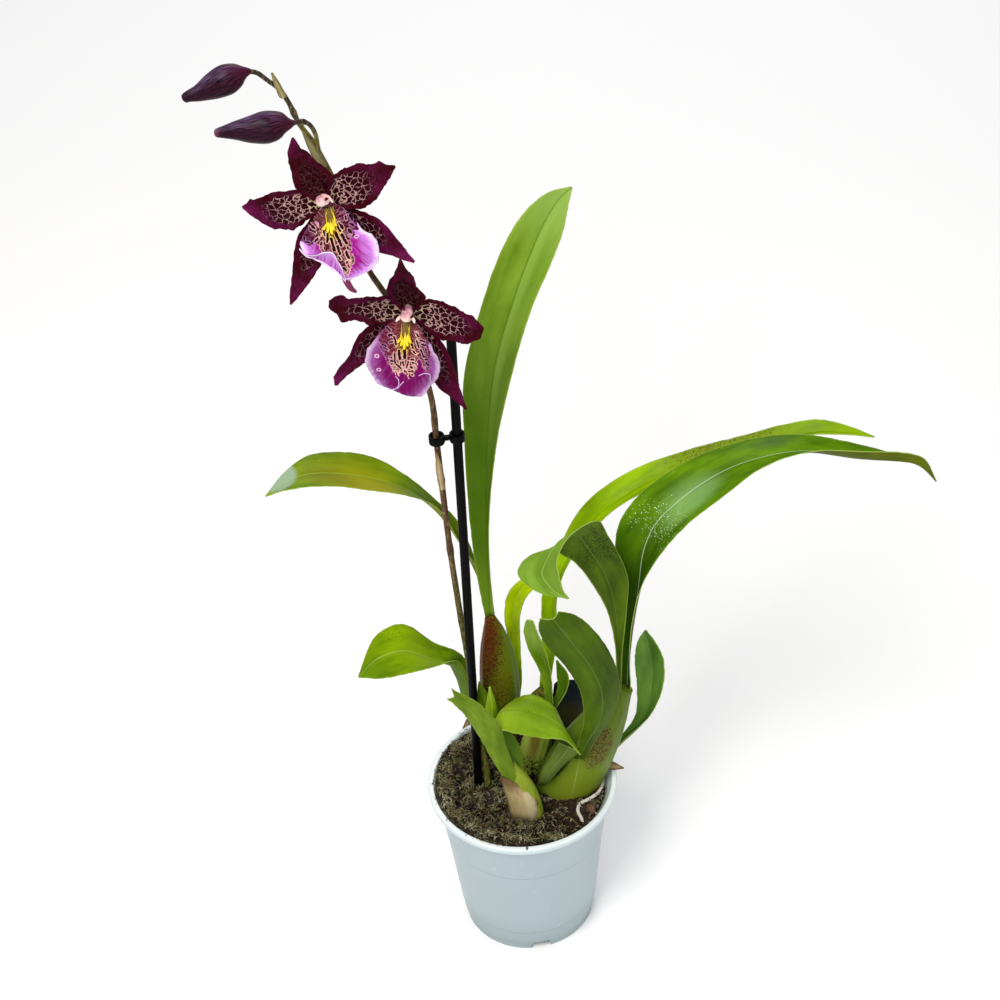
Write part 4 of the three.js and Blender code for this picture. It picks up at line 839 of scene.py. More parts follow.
LEAVES = {
    "leaf_tall": [
        [[-17, 40, 221], [-11, 38, 224], 1], [[-20, 43, 250], [-12, 37, 254], 4],
        [[-22, 44, 288], [-11, 34, 298], 6], [[-22, 46, 348], [-4, 33, 357], 7],
        [[-19, 46, 403], [8, 32, 412], 8], [[-7, 49, 446], [20, 35, 451], 7], [[7, 54, 481], [33, 42, 478], 6],
        [[20, 58, 500], [40, 49, 493], 4], [[33, 61, 509], [43, 55, 503], 2], [[45, 62, 511], [46, 61, 511], 0],
    ],
    "leaf_left_upper": [
        [[-11, 43, 220], [-17, 44, 220], 0], [[-18, 46, 252], [-20, 50, 255], 2],
        [[-28, 40, 280], [-29, 46, 294], 3], [[-40, 30, 319], [-41, 40, 317], 3],
        [[-57, 14, 343], [-56, 36, 339], 2], [[-76, 2, 358], [-75, 36, 355], 3],
        [[-94, -6, 369], [-95, 30, 365], 3], [[-110, -10, 373], [-111, 20, 371], 2],
        [[-123, -11, 372], [-123, 5, 372], 1], [[-133, -10, 368], [-133, -9, 368], 0],
    ],
    "leaf_left_lower": [
        [[-19, 36, 110], [-18, 43, 108], 2], [[-28, 24, 150], [-26, 38, 148], 5],
        [[-30, 19, 190], [-29, 35, 184], 8], [[-36, 13, 211], [-35, 29, 203], 7],
        [[-48, 3, 217], [-49, 27, 214], 4], [[-65, -7, 222], [-67, 24, 234], 3],
        [[-81, -14, 226], [-83, 12, 237], 2], [[-94, -14, 228], [-94, -13, 229], 0],
    ],
    "leaf_right_wide": [
        [[64, 1, 192], [69, -4, 194], 1], [[64, 3, 229], [69, -4, 236], 4], [[64, 8, 264], [75, -5, 276], 7],
        [[62, 13, 296], [86, -7, 303], 8], [[67, 14, 318], [102, -8, 327], 7],
        [[86, 17, 340], [120, -8, 344], 6], [[121, 17, 361], [145, -7, 365], 6],
        [[163, 12, 372], [171, -6, 373], 6], [[195, 6, 368], [201, -8, 372], 6],
        [[225, -1, 360], [224, -9, 370], 3], [[232, -7, 359], [232, -13, 369], 2],
        [[241, -9, 349], [242, -10, 349], 0],
    ],
    "leaf_right_curled": [
        [[59, -6, 193], [63, -6, 194], 0], [[60, -10, 230], [64, -8, 229], 2],
        [[56, -12, 264], [67, -7, 262], 3], [[48, -17, 291], [68, -5, 287], 5],
        [[36, -26, 320], [57, -9, 323], 5], [[30, -27, 326], [50, -15, 340], 3],
        [[25, -27, 331], [34, -25, 338], 1], [[10, -22, 322], [26, -40, 333], -4],
        [[4, -28, 316], [27, -45, 326], -4], [[14, -38, 310], [29, -47, 317], -3],
        [[30, -47, 312], [32, -48, 312], 0],
    ],
    "leaf_long": [
        [[14, 27, 169], [20, 24, 171], 1], [[17, 28, 210], [26, 20, 217], 3], [[19, 29, 249], [28, 20, 257], 4],
        [[30, 32, 281], [40, 20, 288], 4], [[47, 37, 310], [62, 20, 317], 5], [[74, 41, 329], [84, 25, 328], 6],
        [[109, 44, 340], [109, 27, 344], 5], [[139, 42, 349], [136, 27, 354], 5],
        [[163, 39, 358], [160, 26, 358], 5], [[182, 35, 363], [178, 24, 361], 4],
        [[198, 30, 361], [197, 23, 360], 2], [[212, 24, 357], [212, 23, 357], 0],
    ],
    "leaf_right_small": [
        [[49, 9, 118], [52, 6, 122], 1], [[60, 13, 131], [64, 9, 135], 2], [[73, 18, 148], [82, 10, 156], 3],
        [[75, 23, 170], [90, 13, 175], 4], [[74, 25, 192], [91, 15, 199], 4], [[76, 24, 208], [86, 18, 212], 2],
        [[80, 22, 218], [81, 21, 219], 0],
    ],
    "leaf_front_broad": [
        [[31, -6.5, 134], [38, -7, 132], 0], [[35, -16.5, 162], [44, -16.5, 160], -1],
        [[39, -22, 190], [56, -19, 188], -4], [[37, -27, 219], [61, -20, 210], -5],
        [[28, -31, 245], [58, -23, 237], -5], [[18, -36, 266], [47, -28, 267], -5],
        [[14, -40, 284], [35, -34, 287], -4], [[15, -42, 293], [26, -38, 294], -2],
    ],
    "leaf_narrow": [
        [[18, 14, 161], [22, 12, 162], 0], [[15, 12, 196], [21, 6, 203], 2], [[8, 8, 223], [18, 0, 228], 3],
        [[6, 5, 241], [14, -2, 245], 2], [[8, 3, 251], [12, 0, 252], 0],
    ],
    "leaf_edge": [
        [[20, 16, 161], [23, 14, 162], 0], [[25, 17, 178], [31, 13, 181], 2], [[25, 17, 191], [32, 13, 193], 1],
        [[25, 17, 202], [26, 16, 203], 0],
    ],
    "leaf_back_yellow": [
        [[-10, 48, 108], [-5, 48, 108], 0], [[-4, 54, 144], [3, 54, 144], 1], [[-3, 54, 180], [4, 54, 179], 2],
        [[-5, 52, 210], [5, 50, 211], 3], [[-1, 51, 231], [10, 47, 230], 3], [[10, 50, 243], [18, 45, 241], 2],
        [[23, 46, 251], [24, 45, 250], 0],
    ],
    "leaf_front_left": [
        [[-9, -24, 136], [-3, -24, 140], -1], [[-20, -26, 170], [-9, -25, 176], -3],
        [[-26, -28, 190], [-13, -25, 194], -3], [[-33, -30, 209], [-23, -27, 213], -2],
        [[-41, -32, 223], [-40, -29, 230], 0],
    ],
    "leaf_inner": [
        [[-11, -17, 145], [-7, -16, 145], 0], [[-22, -11, 163], [-16, -8, 162], -1],
        [[-20, -4, 184], [-13, -3, 181], -2], [[-17, -4, 203], [-16, -4, 204], 0],
    ],
    "leaf_hood": [
        [[1, -18, 134], [-6, -22, 142], -1], [[0, -8, 152], [-13, -22, 160], -3],
        [[-6, -3, 167], [-17, -23, 179], -4], [[-6, 4, 179], [-12, -24, 186], -4],
        [[8, 3, 188], [-1, -25, 183], -3], [[21, -3, 184], [14, -26, 179], -2],
        [[28, -14, 173], [27, -27, 177], -1], [[36, -25, 163], [36, -26, 162], 0],
    ],
    "sheath_front": [
        [[9.5, -4.5, 115], [13.5, -6.5, 116], 0], [[11, -12, 128], [18, -14.5, 130], -1.5],
        [[13, -13, 138], [24, -16.5, 142], -2.5], [[18, -13, 148], [30, -17, 150], -3],
        [[24, -14, 163], [36, -17, 156], -1],
    ],
    "sheath_left": [
        [[-21, 35, 112], [-14, 34, 112], -1], [[-25, 33, 146], [-14, 31, 148], -2],
        [[-25, 33, 163], [-17, 31, 159], -1], [[-24, 33, 172], [-23, 33, 172], 0],
    ],
}

LEAF_LOOKS = {
    # name: upper side (deep, pale, rib), underside (deep, pale, rib), slot, shown side is the underside
    "leaf_tall": (("5a7a14", "76962a", "42600c"), ("536b1e", "7a9336", "879c48"), "green_leaf", False),
    "leaf_left_upper": (("496604", "789104", "95b445"), ("576507", "7f8c10", "849946"), "green_leaf", False),
    "leaf_left_lower": (("4e6d04", "87a604", "a0c058"), ("415c04", "618005", "6b8e34"), "green_leaf", False),
    "leaf_right_wide": (("345804", "618b04", "c5ceb6"), ("414b07", "5c660e", "667843"), "green_leaf", False),
    "leaf_right_curled": (("5a7c1c", "789c34", "94b060"), ("344804", "556e13", "5c7736"), "dark_leaf", True),
    "leaf_long": (("698904", "96bc04", "6e860c"), ("5b6e05", "84970d", "889541"), "green_leaf", False),
    "leaf_right_small": (("456c23", "6d963d", "355f23"), ("4d6527", "718941", "678248"), "dark_leaf", False),
    "leaf_front_broad": (("3e6707", "60921b", "7d9f50"), ("2f4505", "4b660b", "5c713a"), "dark_leaf", True),
    "leaf_narrow": (("446207", "6f8e18", "8b9e57"), ("476013", "658222", "79904a"), "green_leaf", False),
    "leaf_edge": (("3c5d04", "5f8404", "6e8f3e"), ("415a04", "5f7b09", "6e8737"), "green_leaf", False),
    "leaf_back_yellow": (("8eaa04", "cce704", "b8cb5a"), ("809904", "b1cb0b", "a6b94f"), "green_leaf", False),
    "leaf_front_left": (("557713", "81aa2d", "92b654"), ("4e6610", "7a9529", "56781f"), "green_leaf", True),
    "leaf_inner": (("678b0d", "95ba1f", "9cc256"), ("678407", "96b215", "9cb850"), "green_leaf", True),
    "leaf_hood": (("61800b", "8daf26", "617b14"), ("476510", "668827", "718f39"), "green_leaf", False),
    "sheath_front": (("435921", "647c33", "6e843f"), ("445723", "687831", "727f3a"), "dark_leaf", True),
    "sheath_left": (("547404", "7ea10e", "8ca848"), ("577804", "82a507", "8ca642"), "green_leaf", True),
}
LEAF_MARKS = {  # dot spacing in mm or 0 for a plain tint, centre, reach, softness, tilt, colour, strength
    "leaf_left_upper": [
        (0, (-78, 4, 355), (38, 20, 15), 0.7, 0, "9c9808", 0.85),
        (0, (-98, 6, 366), (16, 8, 10), 0.7, 0, "6c6c0c", 0.5),
        (0, (-125, 2, 371), (9, 12, 9), 0.2, 0, "93a890", 0.85),
    ],
    "leaf_right_wide": [
        (0, (66, 4, 235), (52, 40, 66), 0.55, 0, "234002", 0.9),
        # painted sheen: a whitish haze along the midrib, then pale dots that are partly the leaf's own specks and
        # partly painted sheen
        (0, (104, 4, 336), (34, 7, 20), 0.6, 50, "8fb878", 0.45),
        (0.45, (86, 4, 318), (17, 14, 12), 0.7, 0, "b4cc9c", 0.07),
    ],
    "leaf_right_curled": [(0.45, (56, -14, 320), (20, 16, 15), 0.5, 0, "161c08", 0.3)],
    "leaf_long": [
        (0, (126, 36, 346), (34, 16, 14), 0.7, 0, "74842a", 0.75),
        (0.45, (122, 36, 346), (34, 16, 12), 0.7, 0, "4c3c16", 0.22),
    ],
    "leaf_hood": [
        (0.5, (8, -12, 180), (34, 34, 34), 0.3, 0, "26340c", 0.004),
        # painted light: the lit top of the hood's arch is brighter
        (0, (-14, -14, 180), (12, 14, 14), 0.7, 0, "a0b82e", 0.6),
        (0, (10, -13, 183), (16, 9, 6), 0.8, 0, "5d8018", 0.6),
    ],
    "leaf_left_lower": [
        (0.45, (-72, 14, 232), (9, 8, 6), 0.5, 0, "25300c", 0.04),
        (0, (-56, 12, 222), (18, 8, 10), 0.8, 0, "86a214", 0.6),
        (0, (-90, -12, 228), (10, 9, 7), 0.8, 0, "4e7210", 0.5),
    ],
    "leaf_narrow": [(0, (14, 2, 240), (14, 14, 18), 0.8, 0, "86a444", 0.6)],
    "leaf_tall": [
        (0, (44, 58, 506), (24, 24, 24), 0.8, 0, "83a04a", 0.7),
        # painted shade on the left half of the leaf
        (0, (-18, 44, 320), (14, 30, 84), 0.7, 0, "466a02", 0.8),
        (0, (-14, 38, 236), (14, 30, 22), 0.7, 0, "6c8a1c", 0.6),
    ],
}
# painted light: the tall leaf's lit strip beside its midrib
LEAF_LIT_STRIPS = {"leaf_tall": "7d9f3e"}
LEAF_NOTCHES = {"leaf_front_broad": 3, "leaf_front_left": 5}
for name, (upper, lower, slot, turned) in LEAF_LOOKS.items():
    marks = LEAF_MARKS.get(name, ())
    top = leaf_skin(name + "_upper_side", *upper, marks=() if turned else marks, lit_strip=LEAF_LIT_STRIPS.get(name))
    bottom = leaf_skin(name + "_underside", *lower, rough=0.5, marks=marks if turned else ())
    shape = blade(LEAVES[name], steps=72, across=20, notch=LEAF_NOTCHES.get(name, 0), groove=0.5,
                  tooth=0.35, seed=len(name))
    sides = [bottom, top] if turned else [top, bottom]
    finish_piece(name + "_blade", [shape], [*sides, leaf_edge_skin], [name], thickness=1.0, thin=0.2)

# %% [markdown]
# ## Dry husks
# Old sheaths dry to a papery tan with darker fibres along them and a brown torn brink. They are thinner
# than a leaf, crinkled, and wrap what they grew on.

# %% The husks


def husk_skin(name, body, pale, fibre, brown, marks=()):
    mat = material(name, Roughness=0.72, IOR=1.4)
    across, along, rim = on_blade(mat)
    lane = laid_out(mat, (across, 1), (along, 0.08))
    line = add(mat, "TexNoise", {"Vector": lane, "Scale": 1.6, "Detail": 4, "Roughness": 0.65})
    cloud = add(mat, "TexNoise", {"Vector": add(mat, "TexCoord", out="Object"), "Scale": 130, "Detail": 4})
    colour = blended(mat, cloud, body, pale)
    share = add(mat, "MapRange", {"Value": line, "From Min": 0.47, "From Max": 0.68, "To Max": 0.75})
    colour = blended(mat, share, colour, fibre)
    brink = add(mat, "MapRange", {"Value": rim, "From Min": 0.3, "From Max": 2.6, "To Min": 0.8, "To Max": 0.0})
    torn = add(mat, "SeparateXYZ", {0: add(mat, "UVMap", uv_map="UVMap")}, out=1)
    torn = add(mat, "MapRange", {"Value": torn, "From Min": 0.84, "From Max": 0.98})
    brink = add(mat, "Math", {0: brink, 1: torn}, operation="MAXIMUM")
    ragged = add(mat, "Math", {0: brink, 1: cloud}, operation="MULTIPLY")
    colour = blended(mat, add(mat, "Math", {0: ragged, 1: 1.8}, operation="MULTIPLY"), colour, brown)
    colour = marked(mat, colour, marks)
    return dress(mat, colour, None, line, depth=0.7, strength=0.9)


HUSK_MARKS = [  # dark foot, brown shoulder, pale middle
    (0, (1, -29, 107), (16, 9, 6), 0.7, 0, "2a1a0e", 0.9),
    (0, (-8, -28, 142), (9, 8, 7), 0.8, 20, "5c3c1e", 0.75),
    (0, (4, -29, 120), (2.6, 9, 14), 0.8, -8, "d8cca4", 0.6),
]
dry_husk = husk_skin("dry_papery_sheath", "a8925c", "cbb98a", "7c6032", "3c2410", HUSK_MARKS)
dry_bract = husk_skin("dry_bract", "b09468", "d8c69c", "86663a", "5c3c1c")
old_bark = husk_skin("old_bark_chip", "6c4632", "84604a", "3a2018", "2c160e")
DRY = {
    "husk_front": [
        [[-8, -23, 100], [10, -24, 100], -5], [[-10, -23, 116], [10, -25, 115], -5],
        [[-12, -23, 132], [6, -25, 129], -4], [[-14, -25, 148], [-10, -26, 146], -1],
    ],
    "husk_back": [
        [[-40, 50, 100], [-29, 52, 100], -2], [[-38, 51, 110], [-30, 52, 110], -2],
        [[-34, 52, 120], [-33, 52, 120], 0],
    ],
    "dry_tip": [
        [[44, 11, 108], [44, 5, 108], 1], [[53, 9, 118], [53, 2, 117.5], 1],
        [[59, 6, 120], [59, 0, 119.5], 1], [[64.5, 1, 120], [64.5, 0, 120], 0],
    ],
    "bark_chip": [
        [[38.5, -21, 108], [42, -17, 108], 1], [[40, -25, 110], [45, -20.5, 110], 1.5],
        [[42, -28, 109], [44, -25.5, 109], 1],
    ],
}

DRY_LOOKS = {"husk_front": (dry_husk, "dry_husk", 0.5), "husk_back": (dry_husk, "dry_husk", 0.6),
             "dry_tip": (dry_bract, "dry_husk", 0.6), "bark_chip": (old_bark, "bark", 1.2)}
for name, (coat, slot, thick) in DRY_LOOKS.items():
    shape = blade(DRY[name], steps=36, across=20, tooth=0.8, seed=len(name) * 3, wave=0.5, waves=2)
    finish_piece(name + "_sheath", [shape], [coat], [name], thickness=thick)

# %% [markdown]
# ## Stake, clip and tag
# The stake is a straight rod of black plastic with a faint mould seam, the clip is two snap rings
# joined by a short bridge, and the tag is a blank plate with a stem that stands in the mix.

# %% Black plastic
black_plastic = material("moulded_black_polypropylene", Roughness=0.42, IOR=1.49,
                         Specular_IOR_Level=0.05)
place = add(black_plastic, "TexCoord", out="Object")
scuff = add(black_plastic, "TexNoise", {"Vector": place, "Scale": 240, "Detail": 5, "Roughness": 0.7})
worn = add(black_plastic, "MapRange", {"Value": scuff, "From Min": 0.6, "From Max": 0.78, "To Max": 0.6})
tone = blended(black_plastic, worn, "040405", "15151a")
gloss = add(black_plastic, "MapRange", {"Value": scuff, "To Min": 0.32, "To Max": 0.55})
dress(black_plastic, tone, gloss, scuff, depth=0.12, strength=0.35)

STAKE_DIAMETER = 5.4
STAKE_FOOT, STAKE_TOP = Vector((-29, 6.6, 30)), Vector((-24, 6.6, 462))
CLIP_LEVEL, CLIP_HEIGHT, CLIP_BAND = 389, 5, 1.3


def seam(t, turn, so_far):
    return 0.12 * math.exp(-((turn - 1.2) / 0.08) ** 2) + 0.12 * math.exp(-((turn - 4.34) / 0.08) ** 2)


rod = [[*STAKE_FOOT.lerp(STAKE_TOP, t), STAKE_DIAMETER] for t in (0, 0.5, 1)]
finish_piece("stake_rod", [tube(rod, sides=32, steps=90, relief=seam, round_end=1.6, round_start=1.6)],
             [black_plastic], ["stake"])


def ring(centre, inside, band, height):
    """A snap ring: a flat band spun round its middle, with its edges rounded."""
    low, high = -height / 2, height / 2
    shape = spun([(inside, low), (inside + band, low), (inside + band, high), (inside, high)], 48, closed=True)
    crisp = [edge for edge in shape.edges if edge.calc_face_angle(0) > 1]
    rounded(shape, crisp, 0.28, 2)
    bmesh.ops.translate(shape, verts=shape.verts, vec=centre)
    return shape


at_clip = (CLIP_LEVEL - STAKE_FOOT.z) / (STAKE_TOP.z - STAKE_FOOT.z)
stake_side = STAKE_FOOT.lerp(STAKE_TOP, at_clip)
stem_side = Vector((-36.2, 5, CLIP_LEVEL + 0.5))
between = stake_side - stem_side
STAKE_BORE, STEM_BORE = 3.05, 3.2
bridge = bmesh.new()
bmesh.ops.create_cube(bridge, size=1)
bmesh.ops.scale(bridge, verts=bridge.verts,
                vec=(between.length - STAKE_BORE - STEM_BORE - CLIP_BAND * 0.6, 3, 2.4))
rounded(bridge, bridge.edges[:], 0.4, 3)
bmesh.ops.rotate(bridge, verts=bridge.verts, cent=(0, 0, 0),
                 matrix=Matrix.Rotation(math.atan2(between.y, between.x), 3, "Z"))
bmesh.ops.translate(bridge, verts=bridge.verts, vec=(stake_side + stem_side) / 2)
finish_piece("snap_clip", [ring(stake_side, STAKE_BORE, CLIP_BAND, CLIP_HEIGHT),
                           ring(stem_side, STEM_BORE, CLIP_BAND, CLIP_HEIGHT), bridge],
             [black_plastic], ["stem_clip"])

TAG_OUTLINE = [(-4, -38), (4, -38), (4, -10), (11, 4), (11, 34), (8, 38), (-8, 38), (-11, 34), (-11, 4), (-4, -10)]
tag_shape = bmesh.new()
tag_face = tag_shape.faces.new([tag_shape.verts.new((x, 0, z)) for x, z in TAG_OUTLINE])
grown = bmesh.ops.extrude_face_region(tag_shape, geom=[tag_face])["geom"]
bmesh.ops.translate(tag_shape, verts=[g for g in grown if isinstance(g, bmesh.types.BMVert)], vec=(0, -0.8, 0))
bmesh.ops.recalc_face_normals(tag_shape, faces=tag_shape.faces)
rounded(tag_shape, tag_shape.edges[:], 0.2, 2)
tag_place = Matrix.Translation((31, 37.4, 127)) @ Matrix.Rotation(math.radians(6), 4, "Y")
tag_plastic = material("dark_navy_styrene", Roughness=0.38, IOR=1.55, Specular_IOR_Level=0.15)
place = add(tag_plastic, "TexCoord", out="Object")
scuff = add(tag_plastic, "TexNoise", {"Vector": place, "Scale": 180, "Detail": 4})
tone = blended(tag_plastic, scuff, "0c121c", "262e36")
tone = marked(tag_plastic, tone, [(0, (30, 36, 124), (20, 9, 20), 0.4, 0, "3e3c20", 0.95)])
dress(tag_plastic, tone, None, scuff, depth=0.1, strength=0.3)
finish_piece("tag_plate", [tag_shape], [tag_plastic], ["plant_tag"], place=tag_place)

# %% [markdown]
# ## The flower spike
# The spike leaves the mix beside the stake, passes through the clip and leans out to the blooms. It is
# brown and freckled, greener at its foot, and swells into a ring at each joint. Every bloom and bud has a
# thinner stalk of its own that grows out of it.

# %% The spike
SPIKE = [
    [-22, 3.5, 98, 4], [-22.4, 7.8, 119, 4], [-24.5, 11.8, 139, 4], [-27, 15, 175, 3.9], [-29, 14.5, 214, 3.8],
    [-31.5, 13, 253, 3.7], [-34, 10, 303, 3.6], [-35.5, 7, 355, 3.6], [-36.4, 5, 389, 3.5], [-37, 3, 418, 3.4],
    [-41, 1, 443, 3.3], [-48, -2, 469, 3.2], [-55, -4, 491, 3.2], [-63, -6, 510, 3.1], [-69, -8, 536, 3],
    [-75, -9, 564, 2.9], [-80, -10, 580, 2.8], [-84, -11, 591, 2.6], [-89, -12, 601, 2.5], [-93, -13, 614, 2.4],
    [-96, -14, 621, 2.4], [-101, -17, 628, 2.3], [-105, -20.5, 634, 2.3], [-108.3, -23.6, 636.8, 2.4],
]
BUD_STALK = [
    [-79, -10, 575, 2.2], [-81, -14, 587, 2.3], [-81.5, -18, 599, 2.3], [-84, -22, 606.5, 2.3],
    [-87.5, -26, 610, 2.4], [-90.8, -29.4, 611.2, 2.6],
]
BLOOMS = {
    "upper_bloom": {
        "place": [-79.6, -32, 565],
        "roll": -14,
        "tepals": [
            [
                [[-2, 0, 4], [2.5, 0, 4], 0], [[-7, -2, 9.5], [7, -2, 9.5], 1],
                [[-9.4, -5, 15.6], [9.5, -5, 15.6], 1.5], [[-8.9, -6, 23], [6.5, -6, 22], 1.5],
                [[-8, -7, 28.5], [3.5, -7, 27.7], 1], [[-6.8, -9, 33.5], [0.5, -9, 33.5], 0.5],
                [[-2.1, -12, 40.5], [-1.1, -12, 40.5], 0],
            ],
            [
                [[2, -1, 4], [2, -1, -0.5], 0], [[9.3, -2, 14.5], [6.9, -2, -1.3], 1],
                [[16.7, -2, 16.5], [16.6, -2, -5.7], 1.5], [[25, -2, 15.9], [24.3, -2, -3], 1.2],
                [[33, -2, 13.6], [31, -2, 2], 0.6], [[39.3, -1, 10.2], [39.3, -1, 9.2], 0],
            ],
            [
                [[-2, -1, -0.5], [-2, -1, 5], 0], [[-9.2, -2, -2.6], [-6, -2, 11.8], 1],
                [[-19, -2, -4.8], [-20.3, -2, 15.3], 1.5], [[-26, -2, -2], [-28.3, -2, 15.3], 1],
                [[-33, -2, 4.5], [-34, -2, 14.8], 0.5], [[-38.1, -1, 12.4], [-38.1, -1, 13.4], 0],
            ],
            [
                [[2.6, 0.8, 1.6], [0.4, 0.8, 0], 0], [[9, 0.5, -2.5], [6, 0.5, -12], 0.6],
                [[17, 1, -7.5], [11, 1, -21], 1], [[23, 1, -14], [15, 1, -27], 1],
                [[28.6, 1, -26], [19.5, 1, -31], 1], [[31, 0.5, -33.5], [27, 0.5, -36], 0.5],
                [[33.2, 0, -39], [32.6, 0, -40], 0],
            ],
            [
                [[0.6, 0.8, 0], [-1.4, 0.8, 1.8], 0], [[-4, 0.5, -14], [-9, 0.5, -3.5], 0.6],
                [[-8, 1, -23], [-17.5, 1, -9.5], 1], [[-13, 1, -28.5], [-23, 1, -19], 1],
                [[-19.6, 1, -33.6], [-26.5, 1, -27], 1], [[-26, 0.5, -38.3], [-30, 0.5, -34], 0.5],
                [[-32.4, 0, -42], [-33, 0, -41.4], 0],
            ],
        ],
        "lip": [
            [[5, -4, 3.5], [1, -4, 4], 0], [[11.5, -6, -4], [-7.5, -6, -2.5], -2],
            [[14, -8, -11], [-13, -8, -7], -3], [[19, -9.5, -18], [-17, -6, -12.5], -4],
            [[19.5, -10, -26], [-14.5, -6, -19.5], -4], [[14, -9, -33], [-9, -8, -24.5], -3],
            [[5, -8.5, -35], [-4, -8.5, -30.5], -2], [[0, -8, -36.5], [-1.5, -8, -36], 0],
        ],
        "tail": [
            [-1.4, -8.2, -33.5, 3, 2], [-0.9, -8.2, -37, 3.4, 2], [-0.2, -7.5, -40.5, 3, 1.6],
            [2, -8.5, -43, 1.4, 1.2],
        ],
        "column": [[1.5, -1, 5, 4.6, 4.6], [1.8, -5, 6, 5.2, 5], [2, -9, 6.3, 5.6, 5.2], [2.1, -11.5, 6, 3, 3]],
        "callus": [[2.8, -6.5, 1, 3, 3], [1.8, -9.5, -5, 4.4, 2.6], [0.8, -11.5, -10.5, 3, 2]],
    },
    "lower_bloom": {
        "place": [-44.7, -26, 493.7],
        "roll": 6,
        "tepals": [
            [
                [[-2, 0, 3], [2, 0, 3], 0], [[-8, -2, 9], [7, -2, 8], 1], [[-11, -5, 15.5], [9, -5, 13], 1.5],
                [[-9.7, -6, 20.7], [4.6, -6, 17.6], 1.5], [[-8, -8, 24.5], [3, -8, 23], 1],
                [[-6.2, -10, 29], [-1, -10, 28.5], 0.5], [[-4.9, -12, 34.7], [-4.1, -12, 34.7], 0],
            ],
            [
                [[2, -1, 4], [2, -1, 0], 0], [[9.5, -2, 10.3], [7, -2, -3.8], 1],
                [[19.5, -2, 8.8], [17.3, -2, -10.8], 1.5], [[26.4, -2, 5.5], [25.6, -2, -11.8], 1.5],
                [[34, -2, 1.5], [32, -2, -12.3], 1], [[37.6, -1.5, -1.8], [36.4, -1.5, -10.7], 0.5],
                [[39.4, -1, -4], [39, -1, -5.6], 0],
            ],
            [
                [[-2, -1, 0], [-2, -1, 4], 0], [[-11.7, -2, -3.9], [-9, -2, 11.2], 1],
                [[-18, -2, -4.4], [-17, -2, 11], 1.4], [[-27, -2, -2.4], [-25, -2, 10], 1.3],
                [[-33, -2, -3.2], [-32, -2, 10], 0.8], [[-36.5, -1.5, 0.5], [-36, -1.5, 10.6], 0.4],
                [[-40.4, -1, 4], [-40, -1, 7.8], 0],
            ],
            [
                [[2.6, 0.8, 1.6], [0.4, 0.8, 0], 0], [[11, 0.5, -6], [7, 0.5, -14], 0.6],
                [[17.9, 1, -12.6], [11, 1, -25], 1], [[23.7, 1, -24.3], [14, 1, -33], 1],
                [[27.3, 1, -34.5], [18, 1, -39.5], 1], [[30, 0.5, -43], [24.5, 0.5, -43.8], 0.5],
                [[32.6, 0, -49.6], [31.8, 0, -50.2], 0],
            ],
            [
                [[0.6, 0.8, 0], [-1.4, 0.8, 1.8], 0], [[-8, 0.5, -15], [-11, 0.5, -1.5], 0.6],
                [[-14, 1, -22], [-19.4, 1, -5.6], 1], [[-21, 1, -26.7], [-26, 1, -13.7], 1],
                [[-28, 1, -31.5], [-29.5, 1, -23], 1], [[-34.5, 0.5, -38.5], [-35, 0.5, -30.5], 0.5],
                [[-36.5, 0, -39.2], [-37.3, 0, -34], 0],
            ],
        ],
        "lip": [
            [[2.5, -4, 2], [-3.5, -4, 2], 0], [[8, -6, -5.5], [-11, -6, -3.5], -1.5],
            [[13, -8, -13], [-16.5, -8, -10], -2], [[17, -9, -20], [-20.5, -9, -17], -2.5],
            [[17, -9, -27], [-19.5, -9, -25.5], -2.5], [[13, -8.5, -34.5], [-15.5, -8.5, -32], -2],
            [[8, -8, -40], [-9, -8, -36.2], -1.5], [[2, -8, -41], [-4, -8, -37], -1],
        ],
        "column": [
            [0, -1, 5, 4.6, 4.6], [-0.1, -5, 5.6, 5.2, 5], [-0.2, -9, 5.2, 5.8, 5.4], [-0.3, -11.5, 4.4, 3, 3],
        ],
        "callus": [[-0.6, -6.5, -1, 3, 3], [-0.8, -9.5, -7, 4.4, 2.6], [-1.1, -11.2, -13.5, 3, 2]],
    },
}


def in_bloom(bloom):
    """Where a bloom's own directions lie: x to its right, y away from who looks at it, z to its top."""
    turn = Matrix.Rotation(math.radians(-BLOOM_TILT), 4, "X")
    turn = turn @ Matrix.Rotation(math.radians(bloom["roll"]), 4, "Y")
    return Matrix.Translation(bloom["place"]) @ turn


def joints(rings, height=0.5, wide=2.2):
    """Swollen rings at distances along a stalk."""
    def rise(t, turn, so_far):
        swell = sum(height * math.exp(-((so_far - ring) / wide) ** 2) for ring in rings)
        return swell + 0.1 * noise.noise(Vector((math.cos(turn) * 2, math.sin(turn) * 2, so_far * 0.35)))
    return rise


BLOOM_TILT = 15
HUB_RADIUS = 3.2
stem_parts = [tube(SPIKE, sides=20, steps=240, relief=joints((64, 148, 206, 262, 306, 352, 448, 520)), round_end=1),
              tube(BUD_STALK, sides=16, steps=60, relief=joints((3, 38), 0.3, 1.6), round_end=0.8)]
for name, start in (("upper_bloom", (-70, -8, 541)), ("lower_bloom", (-48.5, -2, 471))):
    place = in_bloom(BLOOMS[name])
    behind = place @ Vector((0.3, 13, -2))
    end = place @ Vector((0.5, 1.3 + HUB_RADIUS + GAP, 2))
    stem_parts.append(tube([[*start, 2.4], [*behind, 2.6], [*end, 3]], sides=16, steps=40,
                           relief=joints((2,), 0.4, 2)))

